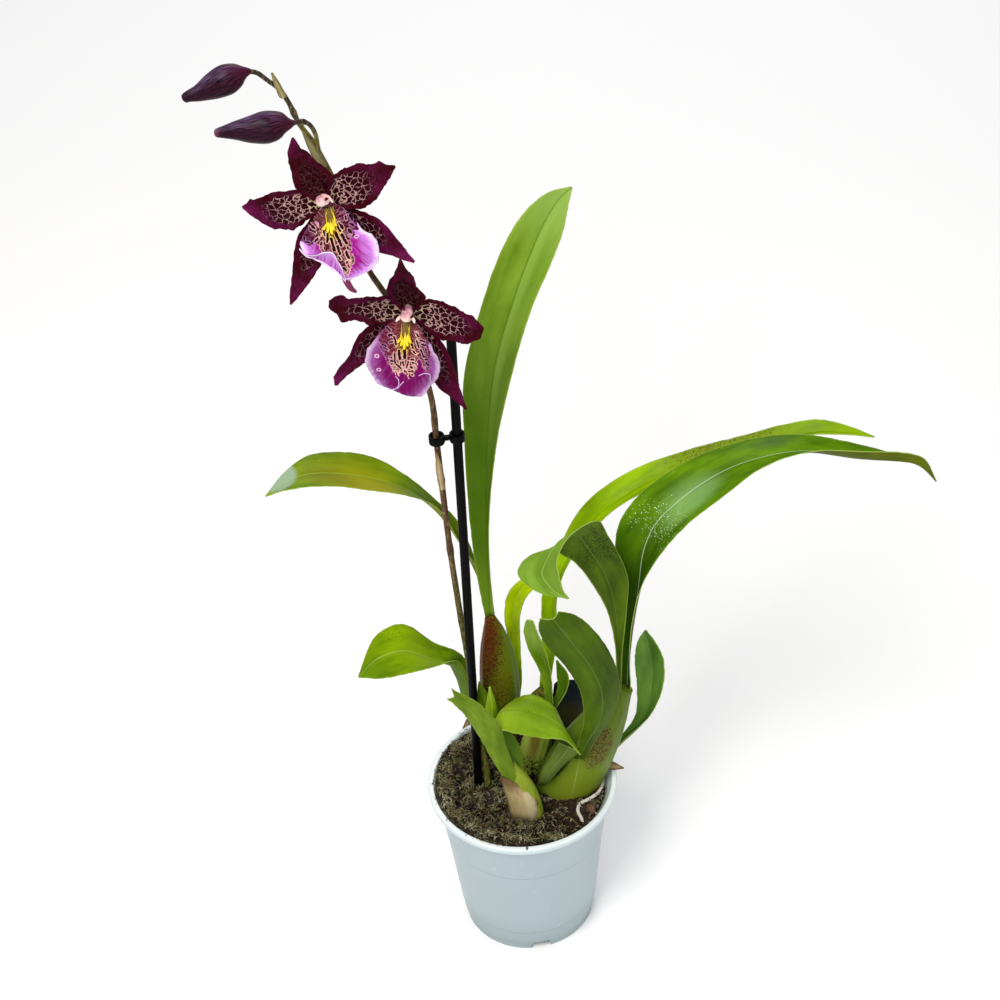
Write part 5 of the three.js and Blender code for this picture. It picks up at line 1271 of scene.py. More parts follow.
stem_skin = material("freckled_stem", Roughness=0.5, IOR=1.42, Specular_IOR_Level=0.25)
place = add(stem_skin, "TexCoord", out="Object")
level = add(stem_skin, "SeparateXYZ", {0: place}, out=2)
drawn = add(stem_skin, "Mapping", {"Vector": place, "Scale": (1, 1, 0.3)})
fleck = add(stem_skin, "TexNoise", {"Vector": drawn, "Scale": 700, "Detail": 4, "Roughness": 0.75})
cloud = add(stem_skin, "TexNoise", {"Vector": place, "Scale": 60, "Detail": 3})
tone = blended(stem_skin, cloud, "3c2714", "5b4020")
STEM_BANDS = [  # from one level in mm to another the tone turns this much to another: foot, young part, top
    (310, 200, 0.75, "56601c"), (545, 585, 0.7, "7c7a2c"), (598, 606, 0.95, "2e211a"),
]
for low, high, most, band_tone in STEM_BANDS:
    share = add(stem_skin, "MapRange", {"Value": level, "From Min": low * MM, "From Max": high * MM, "To Max": most})
    tone = blended(stem_skin, share, tone, band_tone)
light = add(stem_skin, "MapRange", {"Value": fleck, "From Min": 0.54, "From Max": 0.66, "To Max": 0.7})
tone = blended(stem_skin, light, tone, "a48f62")
dark = add(stem_skin, "MapRange", {"Value": fleck, "From Min": 0.48, "From Max": 0.38, "To Max": 0.85})
tone = blended(stem_skin, dark, tone, "1c1009")
dress(stem_skin, tone, None, fleck, depth=0.25, strength=0.5)
finish_piece("flower_stem", stem_parts, [stem_skin], ["flower_spike"])

# %% [markdown]
# ## Petals
# A bloom has five petals of deep maroon. Their inner part is cream, broken by maroon blots, so that the
# cream is left as a net whose lines get finer outwards until they end. A Voronoi pattern gives such a net:
# its cells are the blots, and the distance to a cell's wall says where the cream shows. It is read in
# millimetres along and across each petal, so the blots are longer than they are wide, as real ones are.

# %% The petals' velvet


def petal_velvet(name, body, painted_sheen, net, ground):
    mat = material(name, Roughness=0.34, IOR=1.42, Specular_IOR_Level=0.035)
    across, along, rim = on_blade(mat)
    strength = add(mat, "Attribute", out="Fac", attribute_name="net")
    lane = laid_out(mat, (across, 1), (along, 0.8), (strength, 40))
    sway = add(mat, "TexNoise", {"Vector": lane, "Scale": 0.55, "Detail": 2}, out="Color")
    lane = add(mat, "Mix", {0: 0.2, 4: lane, 5: add(mat, "VectorMath", {0: sway, 1: (11, 11, 11)},
                                                    operation="MULTIPLY")}, out=1, data_type="VECTOR")
    wall = add(mat, "TexVoronoi", {"Vector": lane, "Scale": 0.47, "Randomness": 0.9}, out="Distance",
               feature="DISTANCE_TO_EDGE")
    uv = add(mat, "SeparateXYZ", {0: add(mat, "UVMap", uv_map="UVMap")}, out=1)
    wobble = add(mat, "TexNoise", {"Vector": lane, "Scale": 0.8, "Detail": 2})
    reach = add(mat, "Math", {0: wobble, 1: 0.3, 2: uv}, operation="MULTIPLY_ADD")
    inside = add(mat, "MapRange", {"Value": reach, "From Min": 0.84, "From Max": 0.68})
    margin = add(mat, "MapRange", {"Value": uv, "From Min": 0.2, "From Max": 0.75, "To Min": 0.7, "To Max": 3.4})
    margin = add(mat, "Math", {0: wobble, 1: 2.4, 2: margin}, operation="MULTIPLY_ADD")
    clear = add(mat, "Math", {0: rim, 1: margin}, operation="SUBTRACT")
    clear = add(mat, "MapRange", {"Value": clear, "From Min": -0.3, "From Max": 0.5})
    zone = add(mat, "Math", {0: inside, 1: clear}, operation="MULTIPLY")
    width = add(mat, "MapRange", {"Value": reach, "From Min": 0.2, "From Max": 0.8, "To Min": 0.097, "To Max": 0.04})
    uneven = add(mat, "MapRange", {"Value": wobble, "From Min": 0.3, "From Max": 0.7, "To Min": 0.7, "To Max": 1.25})
    width = add(mat, "Math", {0: width, 1: uneven}, operation="MULTIPLY")
    fine = add(mat, "MapRange", {"Value": strength, "To Min": 0.45, "To Max": 1.0})
    width = add(mat, "Math", {0: width, 1: fine}, operation="MULTIPLY")
    thin = add(mat, "Math", {0: width, 1: 0.55}, operation="MULTIPLY")
    line = add(mat, "MapRange", {"Value": wall, "From Min": width, "From Max": thin})
    line = add(mat, "Math", {0: line, 1: zone}, operation="MULTIPLY")
    line = add(mat, "Math", {0: line, 1: strength}, operation="MULTIPLY")
    # Painted sheen: cloudy magenta patches, strongest on the petals' outer parts, stand for light on the velvet.
    cloud = add(mat, "TexNoise", {"Vector": add(mat, "TexCoord", out="Object"), "Scale": 70, "Detail": 3})
    cloud = add(mat, "MapRange", {"Value": cloud, "From Min": 0.4, "From Max": 0.7})
    outer = add(mat, "MapRange", {"Value": uv, "From Min": 0.3, "From Max": 0.9, "To Min": 0.25, "To Max": 1.0})
    cloud = add(mat, "Math", {0: cloud, 1: outer}, operation="MULTIPLY")
    tone = blended(mat, cloud, body, painted_sheen)
    tone = blended(mat, zone, tone, ground)
    # Painted glints: small pale-magenta specks on the outer parts, where the velvet would catch the light.
    painted_glint = add(mat, "TexNoise", {"Vector": lane, "Scale": 1.7, "Detail": 3, "Roughness": 0.65})
    painted_glint = add(mat, "MapRange", {"Value": painted_glint, "From Min": 0.62, "From Max": 0.74, "To Max": 0.4})
    tone = blended(mat, add(mat, "Math", {0: painted_glint, 1: outer}, operation="MULTIPLY"), tone, "a0648c")
    far = add(mat, "MapRange", {"Value": reach, "From Min": 0.2, "From Max": 0.42})
    cream = blended(mat, far, "a39874", net)
    far = add(mat, "MapRange", {"Value": reach, "From Min": 0.55, "From Max": 0.85})
    cream = blended(mat, far, cream, "84566c")
    faint = add(mat, "MapRange", {"Value": strength, "From Min": 0.9, "From Max": 0.3, "To Max": 0.8})
    cream = blended(mat, faint, cream, "6a4244")
    tone = blended(mat, line, tone, cream)
    vein = add(mat, "TexNoise", {"Vector": add(mat, "Mapping", {"Vector": lane, "Scale": (2.4, 0.12, 1)}),
                                 "Scale": 1, "Detail": 3})
    height = add(mat, "Math", {0: line, 1: 0.4, 2: vein}, operation="MULTIPLY_ADD")
    return dress(mat, tone, None, height, depth=0.35, strength=0.5)


petal_front = petal_velvet("maroon_petal_velvet", "34030e", "5c1040", "a4807e", "240109")
petal_back = material("petal_underside", Roughness=0.55, IOR=1.42, Specular_IOR_Level=0.06)
place = add(petal_back, "Attribute", out="Vector", attribute_name="blade")
drawn = add(petal_back, "Mapping", {"Vector": place, "Scale": (1.3, 0.06, 0)})
vein = add(petal_back, "TexNoise", {"Vector": drawn, "Scale": 1, "Detail": 3})
tone = blended(petal_back, vein, "30081c", "561c38")
side = add(petal_back, "Math", {0: add(petal_back, "SeparateXYZ", {0: place})}, operation="ABSOLUTE")
keel = add(petal_back, "MapRange", {"Value": side, "From Min": 0.3, "From Max": 1.6, "To Min": 0.6, "To Max": 0.0})
dress(petal_back, blended(petal_back, keel, tone, "6c5a34"), None, vein, depth=0.3, strength=0.4)

# %% [markdown]
# ## Lip, column and callus
# The lip is the broad petal in front. It is magenta, paler along fine veins that fan out to a white frilled
# brink, and its middle is a crown of long maroon blots outlined in cream, which are placed one by one. On it
# sits a yellow ridge with brown stripes, and above that the column, a blunt pink knob that hides the pollen.

# %% The lip's finish


def blot(mat, flat, ax, az, bx, bz, radius):
    """How far a place lies outside a rounded blot that runs from a to b, in mm, and below 0 inside it."""
    run = Vector((bx - ax, 0, bz - az))
    start = add(mat, "VectorMath", {0: flat, 1: (ax, 0, az)}, operation="SUBTRACT")
    share = add(mat, "VectorMath", {0: start, 1: run / max(run.length_squared, 0.01)}, out="Value",
                operation="DOT_PRODUCT")
    along = add(mat, "VectorMath", {0: run, "Scale": add(mat, "MapRange", {"Value": share})}, operation="SCALE")
    off = add(mat, "VectorMath", {0: start, 1: along}, operation="SUBTRACT")
    off = add(mat, "VectorMath", {0: off}, out="Value", operation="LENGTH")
    return add(mat, "Math", {0: off, 1: radius}, operation="SUBTRACT")


BLOT_SPREAD, FAN_ROOT = 0.2, -4.0  # mm added to each blot, and the level that the lip's veins fan out from


def lip_silk(name, crown, blots, rings, foot, deep, pale, white, ground):
    """The crown is a few eggs in the plane of the lip, and the rings are small cream ones on its lobes."""
    mat = material(name, Roughness=0.4, IOR=1.4, Specular_IOR_Level=0.05)
    face = add(mat, "Attribute", out="Vector", attribute_name="face")
    flat = add(mat, "VectorMath", {0: face, 1: (1, 0, 1)}, operation="MULTIPLY")
    x, _, z = add(mat, "SeparateXYZ", {0: face}, out=None)
    rim = add(mat, "SeparateXYZ", {0: add(mat, "Attribute", out="Vector", attribute_name="blade")}, out=2)
    down = add(mat, "Math", {0: z, 1: FAN_ROOT}, operation="SUBTRACT")
    angle = add(mat, "Math", {0: x, 1: down}, operation="ARCTAN2")
    reach = add(mat, "VectorMath", {0: add(mat, "CombineXYZ", {0: x, 1: down})}, out="Value", operation="LENGTH")
    fan = laid_out(mat, (angle, 9.0), (reach, 0.05))
    vein = add(mat, "TexNoise", {"Vector": fan, "Scale": 2.2, "Detail": 3, "Roughness": 0.6})
    vein = add(mat, "MapRange", {"Value": vein, "From Min": 0.35, "From Max": 0.68})
    fade = add(mat, "MapRange", {"Value": rim, "From Min": 9.5, "From Max": 2.0})
    fade = add(mat, "Math", {0: vein, 1: 0.6, 2: fade}, operation="MULTIPLY_ADD")
    fade = add(mat, "Math", {0: fade, 1: 0.3}, operation="SUBTRACT", use_clamp=True)
    tone = blended(mat, fade, deep, pale)
    brink = add(mat, "Math", {0: vein, 1: 1.6, 2: rim}, operation="MULTIPLY_ADD")
    brink = add(mat, "MapRange", {"Value": brink, "From Min": 4.0, "From Max": 0.8, "To Max": white})
    low = add(mat, "MapRange", {"Value": z, "From Min": -7.0, "From Max": -13.0})
    brink = add(mat, "Math", {0: brink, 1: low}, operation="MULTIPLY")
    tone = blended(mat, brink, tone, "e6d4f0")
    ragged = add(mat, "TexNoise", {"Vector": flat, "Scale": 0.36, "Detail": 4, "Roughness": 0.6})
    ragged = add(mat, "MapRange", {"Value": ragged, "From Min": 0.3, "From Max": 0.7, "To Min": -0.28,
                                   "To Max": 0.28})
    far = None
    for (cx, cz), (rx, rz), tilt in crown:
        near = egg(mat, flat, (cx, 0, cz), (rx, 1, rz), tilt)
        far = add(mat, "Math", {0: far, 1: near}, operation="MINIMUM") if far else near
    far = add(mat, "Math", {0: far, 1: ragged}, operation="ADD")
    crowned = add(mat, "MapRange", {"Value": far, "From Min": 1.02, "From Max": 0.98})
    outline = add(mat, "Math", {0: far, 1: 0.97}, operation="SUBTRACT")
    outline = add(mat, "Math", {0: outline}, operation="ABSOLUTE")
    outline = add(mat, "MapRange", {"Value": outline, "From Min": 0.045, "From Max": 0.03})
    drawn = laid_out(mat, (angle, 7.0), (reach, 0.24))
    sway = add(mat, "TexNoise", {"Vector": flat, "Scale": 0.6, "Detail": 3, "Roughness": 0.6}, out="Color")
    sway = add(mat, "VectorMath", {0: sway, 1: (0.9, 0.9, 0)}, operation="MULTIPLY")
    drawn = add(mat, "VectorMath", {0: drawn, 1: sway}, operation="ADD")
    wall = add(mat, "TexVoronoi", {"Vector": drawn, "Scale": 1, "Randomness": 0.8}, out="Distance",
               feature="DISTANCE_TO_EDGE")
    net = add(mat, "MapRange", {"Value": wall, "From Min": 0.07, "From Max": 0.03, "To Max": 0.32})
    net = add(mat, "Math", {0: net, 1: crowned}, operation="MULTIPLY")
    height = add(mat, "Math", {0: net, 1: 0.5, 2: vein}, operation="MULTIPLY_ADD")
    bent = add(mat, "TexNoise", {"Vector": flat, "Scale": 0.8, "Detail": 3, "Roughness": 0.6}, out="Color")
    bent = add(mat, "VectorMath", {0: bent, 1: (1.5, 0, 1.5), 2: flat}, operation="MULTIPLY_ADD")
    bent = add(mat, "VectorMath", {0: bent, 1: (0.75, 0, 0.75)}, operation="SUBTRACT")
    nearest = None
    for line in blots:
        own = add(mat, "Math", {0: blot(mat, bent, *line), 1: BLOT_SPREAD}, operation="SUBTRACT")
        nearest = add(mat, "Math", {0: nearest, 1: own}, operation="MINIMUM") if nearest else own
    clear = add(mat, "MapRange", {"Value": nearest, "From Min": 0.1, "From Max": 0.6})
    net = add(mat, "Math", {0: net, 1: clear}, operation="MULTIPLY")
    net = add(mat, "Math", {0: net, 1: outline}, operation="MAXIMUM")
    border = add(mat, "Math", {0: add(mat, "Math", {0: nearest, 1: 0.2}, operation="SUBTRACT")}, operation="ABSOLUTE")
    border = add(mat, "MapRange", {"Value": border, "From Min": 0.26, "From Max": 0.12})
    net = add(mat, "Math", {0: net, 1: border}, operation="MAXIMUM")
    tone = blended(mat, crowned, tone, ground)
    inside = add(mat, "MapRange", {"Value": nearest, "From Min": 0.1, "From Max": -0.1})
    tone = blended(mat, inside, tone, "22020c")
    side = add(mat, "Math", {0: x}, operation="ABSOLUTE")
    side = add(mat, "MapRange", {"Value": side, "From Min": 5.0, "From Max": 11.0})
    cream = blended(mat, side, "d4a49a", "8c5c8a")
    yellow = egg(mat, flat, (foot[0], 0, foot[2] + 1), (5, 1, 4.5))
    yellow = add(mat, "MapRange", {"Value": yellow, "From Min": 1.2, "From Max": 0.5})
    cream = blended(mat, yellow, cream, "d8bc58")
    tone = blended(mat, net, tone, cream)
    for cx, cz in rings:
        loop = add(mat, "Math", {0: egg(mat, flat, (cx, 0, cz), (1.2, 1, 0.9)), 1: 0.85}, operation="SUBTRACT")
        loop = add(mat, "Math", {0: loop}, operation="ABSOLUTE")
        tone = blended(mat, add(mat, "MapRange", {"Value": loop, "From Min": 0.3, "From Max": 0.15}), tone, "d8b0d0")
    return dress(mat, tone, None, height, depth=0.3, strength=0.45)


lip_back = material("lip_underside", Roughness=0.5, IOR=1.4, Specular_IOR_Level=0.15)
place = add(lip_back, "Attribute", out="Vector", attribute_name="blade")
drawn = add(lip_back, "Mapping", {"Vector": place, "Scale": (1.0, 0.1, 0)})
vein = add(lip_back, "TexNoise", {"Vector": drawn, "Scale": 1, "Detail": 3})
tone = blended(lip_back, vein, "8e3a9a", "c48ad2")
dress(lip_back, tone, None, vein, depth=0.3, strength=0.4)
lip_edge = speckled("white_lip_edge", "b494be", "d8c4e2", 300, Roughness=0.5)

flap_silk = material("rolled_lip_margin", Roughness=0.45, IOR=1.4, Specular_IOR_Level=0.1)
across, along, rim = on_blade(flap_silk)
drawn = laid_out(flap_silk, (across, 0.12), (along, 0.8))
vein = add(flap_silk, "TexNoise", {"Vector": drawn, "Scale": 1, "Detail": 3})
vein = add(flap_silk, "MapRange", {"Value": vein, "From Min": 0.35, "From Max": 0.65})
tone = blended(flap_silk, vein, "86348c", "b878c4")
free = add(flap_silk, "MapRange", {"Value": across, "From Min": -1.0, "From Max": 2.5, "To Max": 0.6})
tone = blended(flap_silk, free, tone, "c89ad4")
brink = add(flap_silk, "MapRange", {"Value": rim, "From Min": 1.0, "From Max": 0.4})
dress(flap_silk, blended(flap_silk, brink, tone, "e8d8ee"), None, vein, depth=0.3, strength=0.4)
lip_point = speckled("dark_lip_point", "3a0a22", "8c3a66", 500, 3, 0.2, 0.3, Roughness=0.42, IOR=1.4,
                     Specular_IOR_Level=0.1)

column_wax = material("pink_column", Roughness=0.36, IOR=1.42, Specular_IOR_Level=0.3)
place = add(column_wax, "Attribute", out="Vector", attribute_name="face")
blush = add(column_wax, "TexNoise", {"Vector": place, "Scale": 0.35, "Detail": 3})
blush = add(column_wax, "MapRange", {"Value": blush, "From Min": 0.35, "From Max": 0.65})
tone = blended(column_wax, blush, "a86f88", "d9aaa6")
level = add(column_wax, "SeparateXYZ", {0: place}, out=2)
tip = add(column_wax, "MapRange", {"Value": level, "From Min": 1.0, "From Max": -2.0})
tone = blended(column_wax, tip, tone, "f2dcd0")
for spot in ((2.9, 0, 0.4), (-1.6, 0, 4.0)):
    near = add(column_wax, "VectorMath", {0: place, 1: (1, 0, 1)}, operation="MULTIPLY")
    near = egg(column_wax, near, spot, (1.1, 1, 0.8))
    near = add(column_wax, "MapRange", {"Value": near, "From Min": 1.2, "From Max": 0.8})
    tone = blended(column_wax, near, tone, "5a1226")
dress(column_wax, tone, None, blush, depth=0.2, strength=0.3)

callus_ridge = material("yellow_callus", Roughness=0.42, Specular_IOR_Level=0.3)
place = add(callus_ridge, "Attribute", out="Vector", attribute_name="blade")
along = add(callus_ridge, "SeparateXYZ", {0: place}, out=1)
drawn = add(callus_ridge, "Mapping", {"Vector": place, "Scale": (2.4, 0.1, 0.6)})
stripe = add(callus_ridge, "TexNoise", {"Vector": drawn, "Scale": 1, "Detail": 2})
stripe = add(callus_ridge, "Math", {0: along, 1: -0.028, 2: stripe}, operation="MULTIPLY_ADD")
stripe = add(callus_ridge, "MapRange", {"Value": stripe, "From Min": 0.34, "From Max": 0.4})
tone = blended(callus_ridge, stripe, "e8c818", "5c460c")
dress(callus_ridge, tone, None, stripe, depth=0.2, strength=0.4)
callus_bed = speckled("brown_callus_bed", "2c0a08", "8a6a14", 700, Roughness=0.5, Specular_IOR_Level=0.2)

# %% The blooms
NET_STRENGTH = (0.28, 1.0, 1.0, 0.8, 0.65)
TEETH = (0.45, 1.1, 1.0, 0.4, 0.5)
CROWNS = {  # eggs in the plane of the lip: middle, reach, tilt, all as x and z in mm
    "upper_bloom": [((0.4, -15), (7.2, 16.5), 0), ((-10.2, -6.5), (6.5, 6.5), 20), ((8.5, -7), (4.6, 7.5), -15),
                    ((2, 1), (13, 7), 0)],
    "lower_bloom": [((-1.6, -13), (8.6, 13.5), 0), ((-10.6, -8.5), (3.4, 9), 0), ((9, -14), (3.0, 11), -10),
                    ((-1, 0), (11, 7.5), 0)],
}
LIP_TONES = {  # beside the crown, further out, how white the brink is, and the ground between the blots
    "upper_bloom": ("8c1478", "c684dc", 1.0, "480a22"), "lower_bloom": ("680850", "874a88", 0.55, "5a1526"),
}
BLOTS = {  # each runs from one place to another on the lip, as x, z, x, z and its radius
    "upper_bloom": [
        (-1.4, -9.8, -2.9, -13.3, 0.5), (-0.5, -12.2, -0.9, -18.2, 0.55), (2.4, -9.7, 3.1, -16.7, 0.55),
        (1.2, -16.6, 1.1, -20.6, 0.5), (0.2, -22.2, 0.3, -23.2, 0.4), (5.0, -12.1, 5.8, -16.3, 0.6),
        (5.8, -18.8, 6.4, -19.9, 0.45), (4.3, -20.6, 4.5, -23.8, 0.5), (3.0, -25.6, 3.1, -28.4, 0.4),
        (0.4, -28.2, 1.1, -29.7, 0.45), (-2.6, -7.0, -3.1, -9.7, 0.4), (-5.3, -12.7, -6.6, -14.1, 0.3),
        (-6.7, -15.0, -6.5, -17.4, 0.35), (5.2, -6.5, 6.4, -9.4, 0.35), (4.0, -7.0, 4.8, -10.2, 0.35),
        (9.0, -11.1, 9.3, -12.5, 0.6), (10.4, -8.7, 11.5, -9.8, 0.35), (11.2, -5.4, 11.6, -7.5, 0.4),
        (10.1, -3.6, 11.3, -4.2, 0.3), (-8.9, -3.8, -6.8, -5.3, 0.3), (-9.0, -5.5, -7.0, -7.3, 0.35),
        (-8.9, -11.9, -6.8, -10.6, 0.35), (-13.5, -11.4, -11.8, -11.7, 0.5), (-13.1, -8.4, -13.5, -9.6, 0.3),
        (9.0, -5.0, 9.0, -6.4, 0.3),
    ],
    "lower_bloom": [
        (-3.8, -14.5, -3.2, -18.4, 0.65), (-0.9, -13.9, -0.6, -17.8, 0.65), (-2.7, -20.0, -2.8, -22.0, 0.25),
        (-1.6, -20.0, -1.2, -22.0, 0.25), (-6.0, -15.9, -5.4, -20.7, 0.25), (-5.4, -20.7, -2.6, -23.6, 0.25),
        (-2.6, -23.6, 0.4, -23.5, 0.25), (0.4, -23.5, 1.1, -19.9, 0.25), (-8.5, -18.2, -7.3, -18.0, 0.25),
        (-7.9, -19.9, -6.6, -19.9, 0.25), (-7.4, -21.4, -6.0, -21.5, 0.25), (-6.8, -23.0, -5.5, -23.0, 0.25),
        (-6.2, -24.5, -5.1, -24.3, 0.25), (-3.7, -25.6, -2.1, -24.7, 0.25), (2.6, -19.0, 3.8, -18.6, 0.35),
        (3.4, -20.4, 5.2, -21.2, 0.35), (2.3, -22.9, 4.7, -23.4, 0.45), (1.7, -25.4, 3.7, -25.0, 0.3),
        (3.1, -26.9, 3.6, -27.3, 0.25), (2.6, -11.0, 3.2, -12.9, 0.35), (3.4, -14.4, 4.5, -15.6, 0.3),
        (5.1, -9.4, 6.1, -12.6, 0.3), (7.3, -14.0, 8.6, -16.7, 0.3), (9.6, -19.1, 10.9, -19.0, 0.25),
        (10.2, -20.7, 11.3, -22.1, 0.25), (8.6, -17.5, 10.4, -17.7, 0.25), (7.7, -11.2, 9.5, -11.8, 0.25),
        (7.1, -9.4, 9.0, -10.2, 0.25), (9.8, -13.2, 10.1, -15.4, 0.2), (-9.1, -7.2, -7.6, -7.1, 0.35),
        (-8.6, -10.7, -7.2, -10.2, 0.25), (-10.2, -4.2, -8.7, -5.3, 0.25), (-6.3, -7.8, -5.3, -11.3, 0.35),
        (-12.4, -11.8, -10.3, -12.6, 0.2), (-11.4, -13.5, -9.6, -14.1, 0.2), (4.7, -6.2, 5.9, -7.7, 0.3),
    ],
}
RINGS = {"upper_bloom": [(11.4, -15.2)], "lower_bloom": [(-14.9, -18.1), (-13.7, -25.2)]}
FLAP = [  # the margin of the upper lip that has rolled forward: its crease and its free brink, as x, z and lift
    [(-17.9, -14.4, 0.2), (-17.6, -13.6, 0.6), 0], [(-15.9, -18.4, 0.2), (-15.0, -17.6, 1.2), -0.4],
    [(-12.6, -20.8, 0.2), (-11.0, -18.1, 1.8), -0.8], [(-9.4, -23.2, 0.3), (-6.4, -17.4, 2.2), -1],
    [(-6.4, -26.4, 0.3), (-2.2, -18.2, 2.2), -1], [(-3.8, -29.7, 0.4), (-0.9, -23.4, 1.6), -0.8],
    [(-2.4, -33.4, 0.4), (-0.4, -29, 1.2), -0.5], [(-1.3, -35.8, 0.4), (-0.6, -34.6, 0.6), 0],
]
CURLS = {  # thin rolled edges that show pale: lines of x and z on the lip
    "upper_bloom": [[(-1.6, -36.2), (-0.6, -34.2), (3.5, -34.6), (8, -34.2), (12.5, -33)]],
    "lower_bloom": [
        [(-5.2, -28.2), (-3.6, -30), (-3.4, -33), (-5, -35.6), (-8.8, -36.6)],
        [(-0.8, -31), (-2.6, -33.2), (-4, -35.4)],
        [(6.6, -27.6), (9.5, -26.2), (12.4, -26.8), (12.6, -30), (14, -32.4)],
    ],
}
CAPS = {  # the cap over the pollen: middle and reach
    "upper_bloom": ((0.9, -9.6, 6.6), (2.9, 3, 2.8)), "lower_bloom": ((-0.6, -9.6, 3.6), (3.1, 3, 2.9)),
}
WINGS = {
    "upper_bloom": [[[1.6, -9.4, 9, 1.4, 1], [4.6, -10.6, 7.8, 2, 1], [6.2, -11, 4.4, 0.8, 0.6]]],
    "lower_bloom": [[[-3.2, -9.2, 3.8, 1.4, 1], [-4.8, -9.8, 2.2, 1.6, 1], [-5.8, -9.8, 0.8, 0.7, 0.6]],
                    [[2.2, -9.2, 3.6, 1.4, 1], [3.2, -9.8, 2, 1.6, 1], [3.8, -9.8, 0.2, 0.7, 0.6]]],
}


def remember(shape, name, value):
    """Keeps a value, or each corner's own place, on a shape for its finish to read."""
    if value is None:
        layer = shape.verts.layers.float_vector.new(name)
        for corner in shape.verts:
            corner[layer] = corner.co
    else:
        layer = shape.verts.layers.float.new(name)
        for corner in shape.verts:
            corner[layer] = value
    return shape


def pucker(s, v, half, chord, run, face):
    """Petals are never flat: shallow dimples, deeper towards the frilled margin."""
    dimple = noise.noise(Vector((v * half * 0.22, s * 8, half)))
    dimple += 0.6 * noise.noise(Vector((v * half * 0.5, s * 17, half)))
    return face * dimple * (0.35 + 0.5 * abs(v)) * min(1, half / 4)


def on_lip(shape, x, z):
    """The foremost place on a lip about a point of its plane."""
    def off(corner):
        return math.hypot(corner.co.x - x, corner.co.z - z)
    reach = max(1.4, min(map(off, shape.verts)) + 0.5)
    return min(corner.co.y for corner in shape.verts if off(corner) < reach)


def ball(centre, reach):
    shape = bmesh.new()
    bmesh.ops.create_uvsphere(shape, u_segments=32, v_segments=20, radius=1)
    shape.transform(Matrix.Translation(centre) @ Matrix.Diagonal((*reach, 1)))
    return shape


def callus(stations):
    """A dark bed with five yellow ridges that spread towards its foot."""
    top, middle, foot = (Vector(s[:3]) for s in stations)
    bed = tube(stations, sides=24, steps=24, round_end=1.4)
    for face in bed.faces:
        face.material_index = 1
    ridges = []
    for k in (-2, -1, 0, 1, 2):
        lift = Vector((0, -0.9 + 0.25 * abs(k), 0))
        ridges.append(tube([
            [*(top + Vector((0.95 * k, 0, 0.6)) + lift), 1.1, 1.1],
            [*(middle + Vector((0.95 * k, 0, 0)) + lift), 1.3, 1.3],
            [*(foot + Vector((1.45 * k, 0, 1.5 * abs(k) + 1.4)) + lift), 1.5, 1.2],
            [*(foot + Vector((1.8 * k, 0.5, 1.7 * abs(k))) + lift), 0.8, 0.8]], sides=10, steps=24, round_end=0.5))
    return [bed, *ridges]


for name, bloom in BLOOMS.items():
    place = in_bloom(bloom)
    petals = []
    for k, rows in enumerate(bloom["tepals"]):
        petal = blade(rows, steps=64, across=28, wave=1.0, waves=3.4, fold=1.8, groove=0.3, tooth=TEETH[k],
                      seed=k * 5 + len(name), bend=pucker)
        petals.append(remember(petal, "net", NET_STRENGTH[k]))
    finish_piece(name + "_petals", petals, [petal_front, petal_back, petal_front], [name + "_tepals"],
                 thickness=0.7, place=place, thin=0.5)
    finish_piece(name + "_heart", [ball((0.5, 1, 2), [HUB_RADIUS] * 3)], [petal_back], [name + "_tepals"],
                 place=place)
    lip = blade(bloom["lip"], steps=64, across=44, wave=1.1, waves=4, fold=1.8, tooth=0.8, seed=3, bend=pucker)
    curls = [tube([[x, on_lip(lip, x, z) - 0.2, z, 0.45] for x, z in line], sides=8, steps=24, round_start=0.4,
                  round_end=0.4) for line in CURLS[name]]
    if name == "upper_bloom":
        rows = [[(x, on_lip(lip, x, z) - lift, z) for x, z, lift in row[:2]] + [row[2]] for row in FLAP]
        flap = blade(rows, steps=40, across=16, wave=0.3, fold=1.6, tooth=0.3, seed=8)
        finish_piece(name + "_lip_flap", [flap], [flap_silk, flap_silk, lip_edge], [name + "_lip"],
                     thickness=0.5, place=place, thin=0.6)
        tail = tube(bloom["tail"], sides=16, steps=24, round_end=1)
        finish_piece(name + "_lip_tail", [tail], [lip_point], [name + "_lip"], place=place)
    finish_piece(name + "_lip_curls", curls, [lip_edge], [name + "_lip"], place=place)
    finish_piece(name + "_lip_petal", [remember(lip, "face", None)],
                 [lip_silk(name + "_lip_silk", CROWNS[name], BLOTS[name], RINGS[name], bloom["callus"][-1],
                           *LIP_TONES[name]), lip_back, lip_edge],
                 [name + "_lip"], thickness=0.7, place=place, thin=0.5)
    knob = [tube(bloom["column"], sides=28, steps=24, round_end=2.4), ball(*CAPS[name])]
    knob += [tube(wing, sides=12, steps=16, round_end=0.5, round_start=0.5) for wing in WINGS[name]]
    centre = Vector(CAPS[name][0])
    for shape in knob:
        layer = shape.verts.layers.float_vector.new("face")
        for corner in shape.verts:
            corner[layer] = corner.co - centre
    finish_piece(name + "_column_knob", knob, [column_wax], [name + "_column"], place=place)
    finish_piece(name + "_callus_ridge", callus(bloom["callus"]), [callus_ridge, callus_bed], [name + "_callus"],
                 place=place)
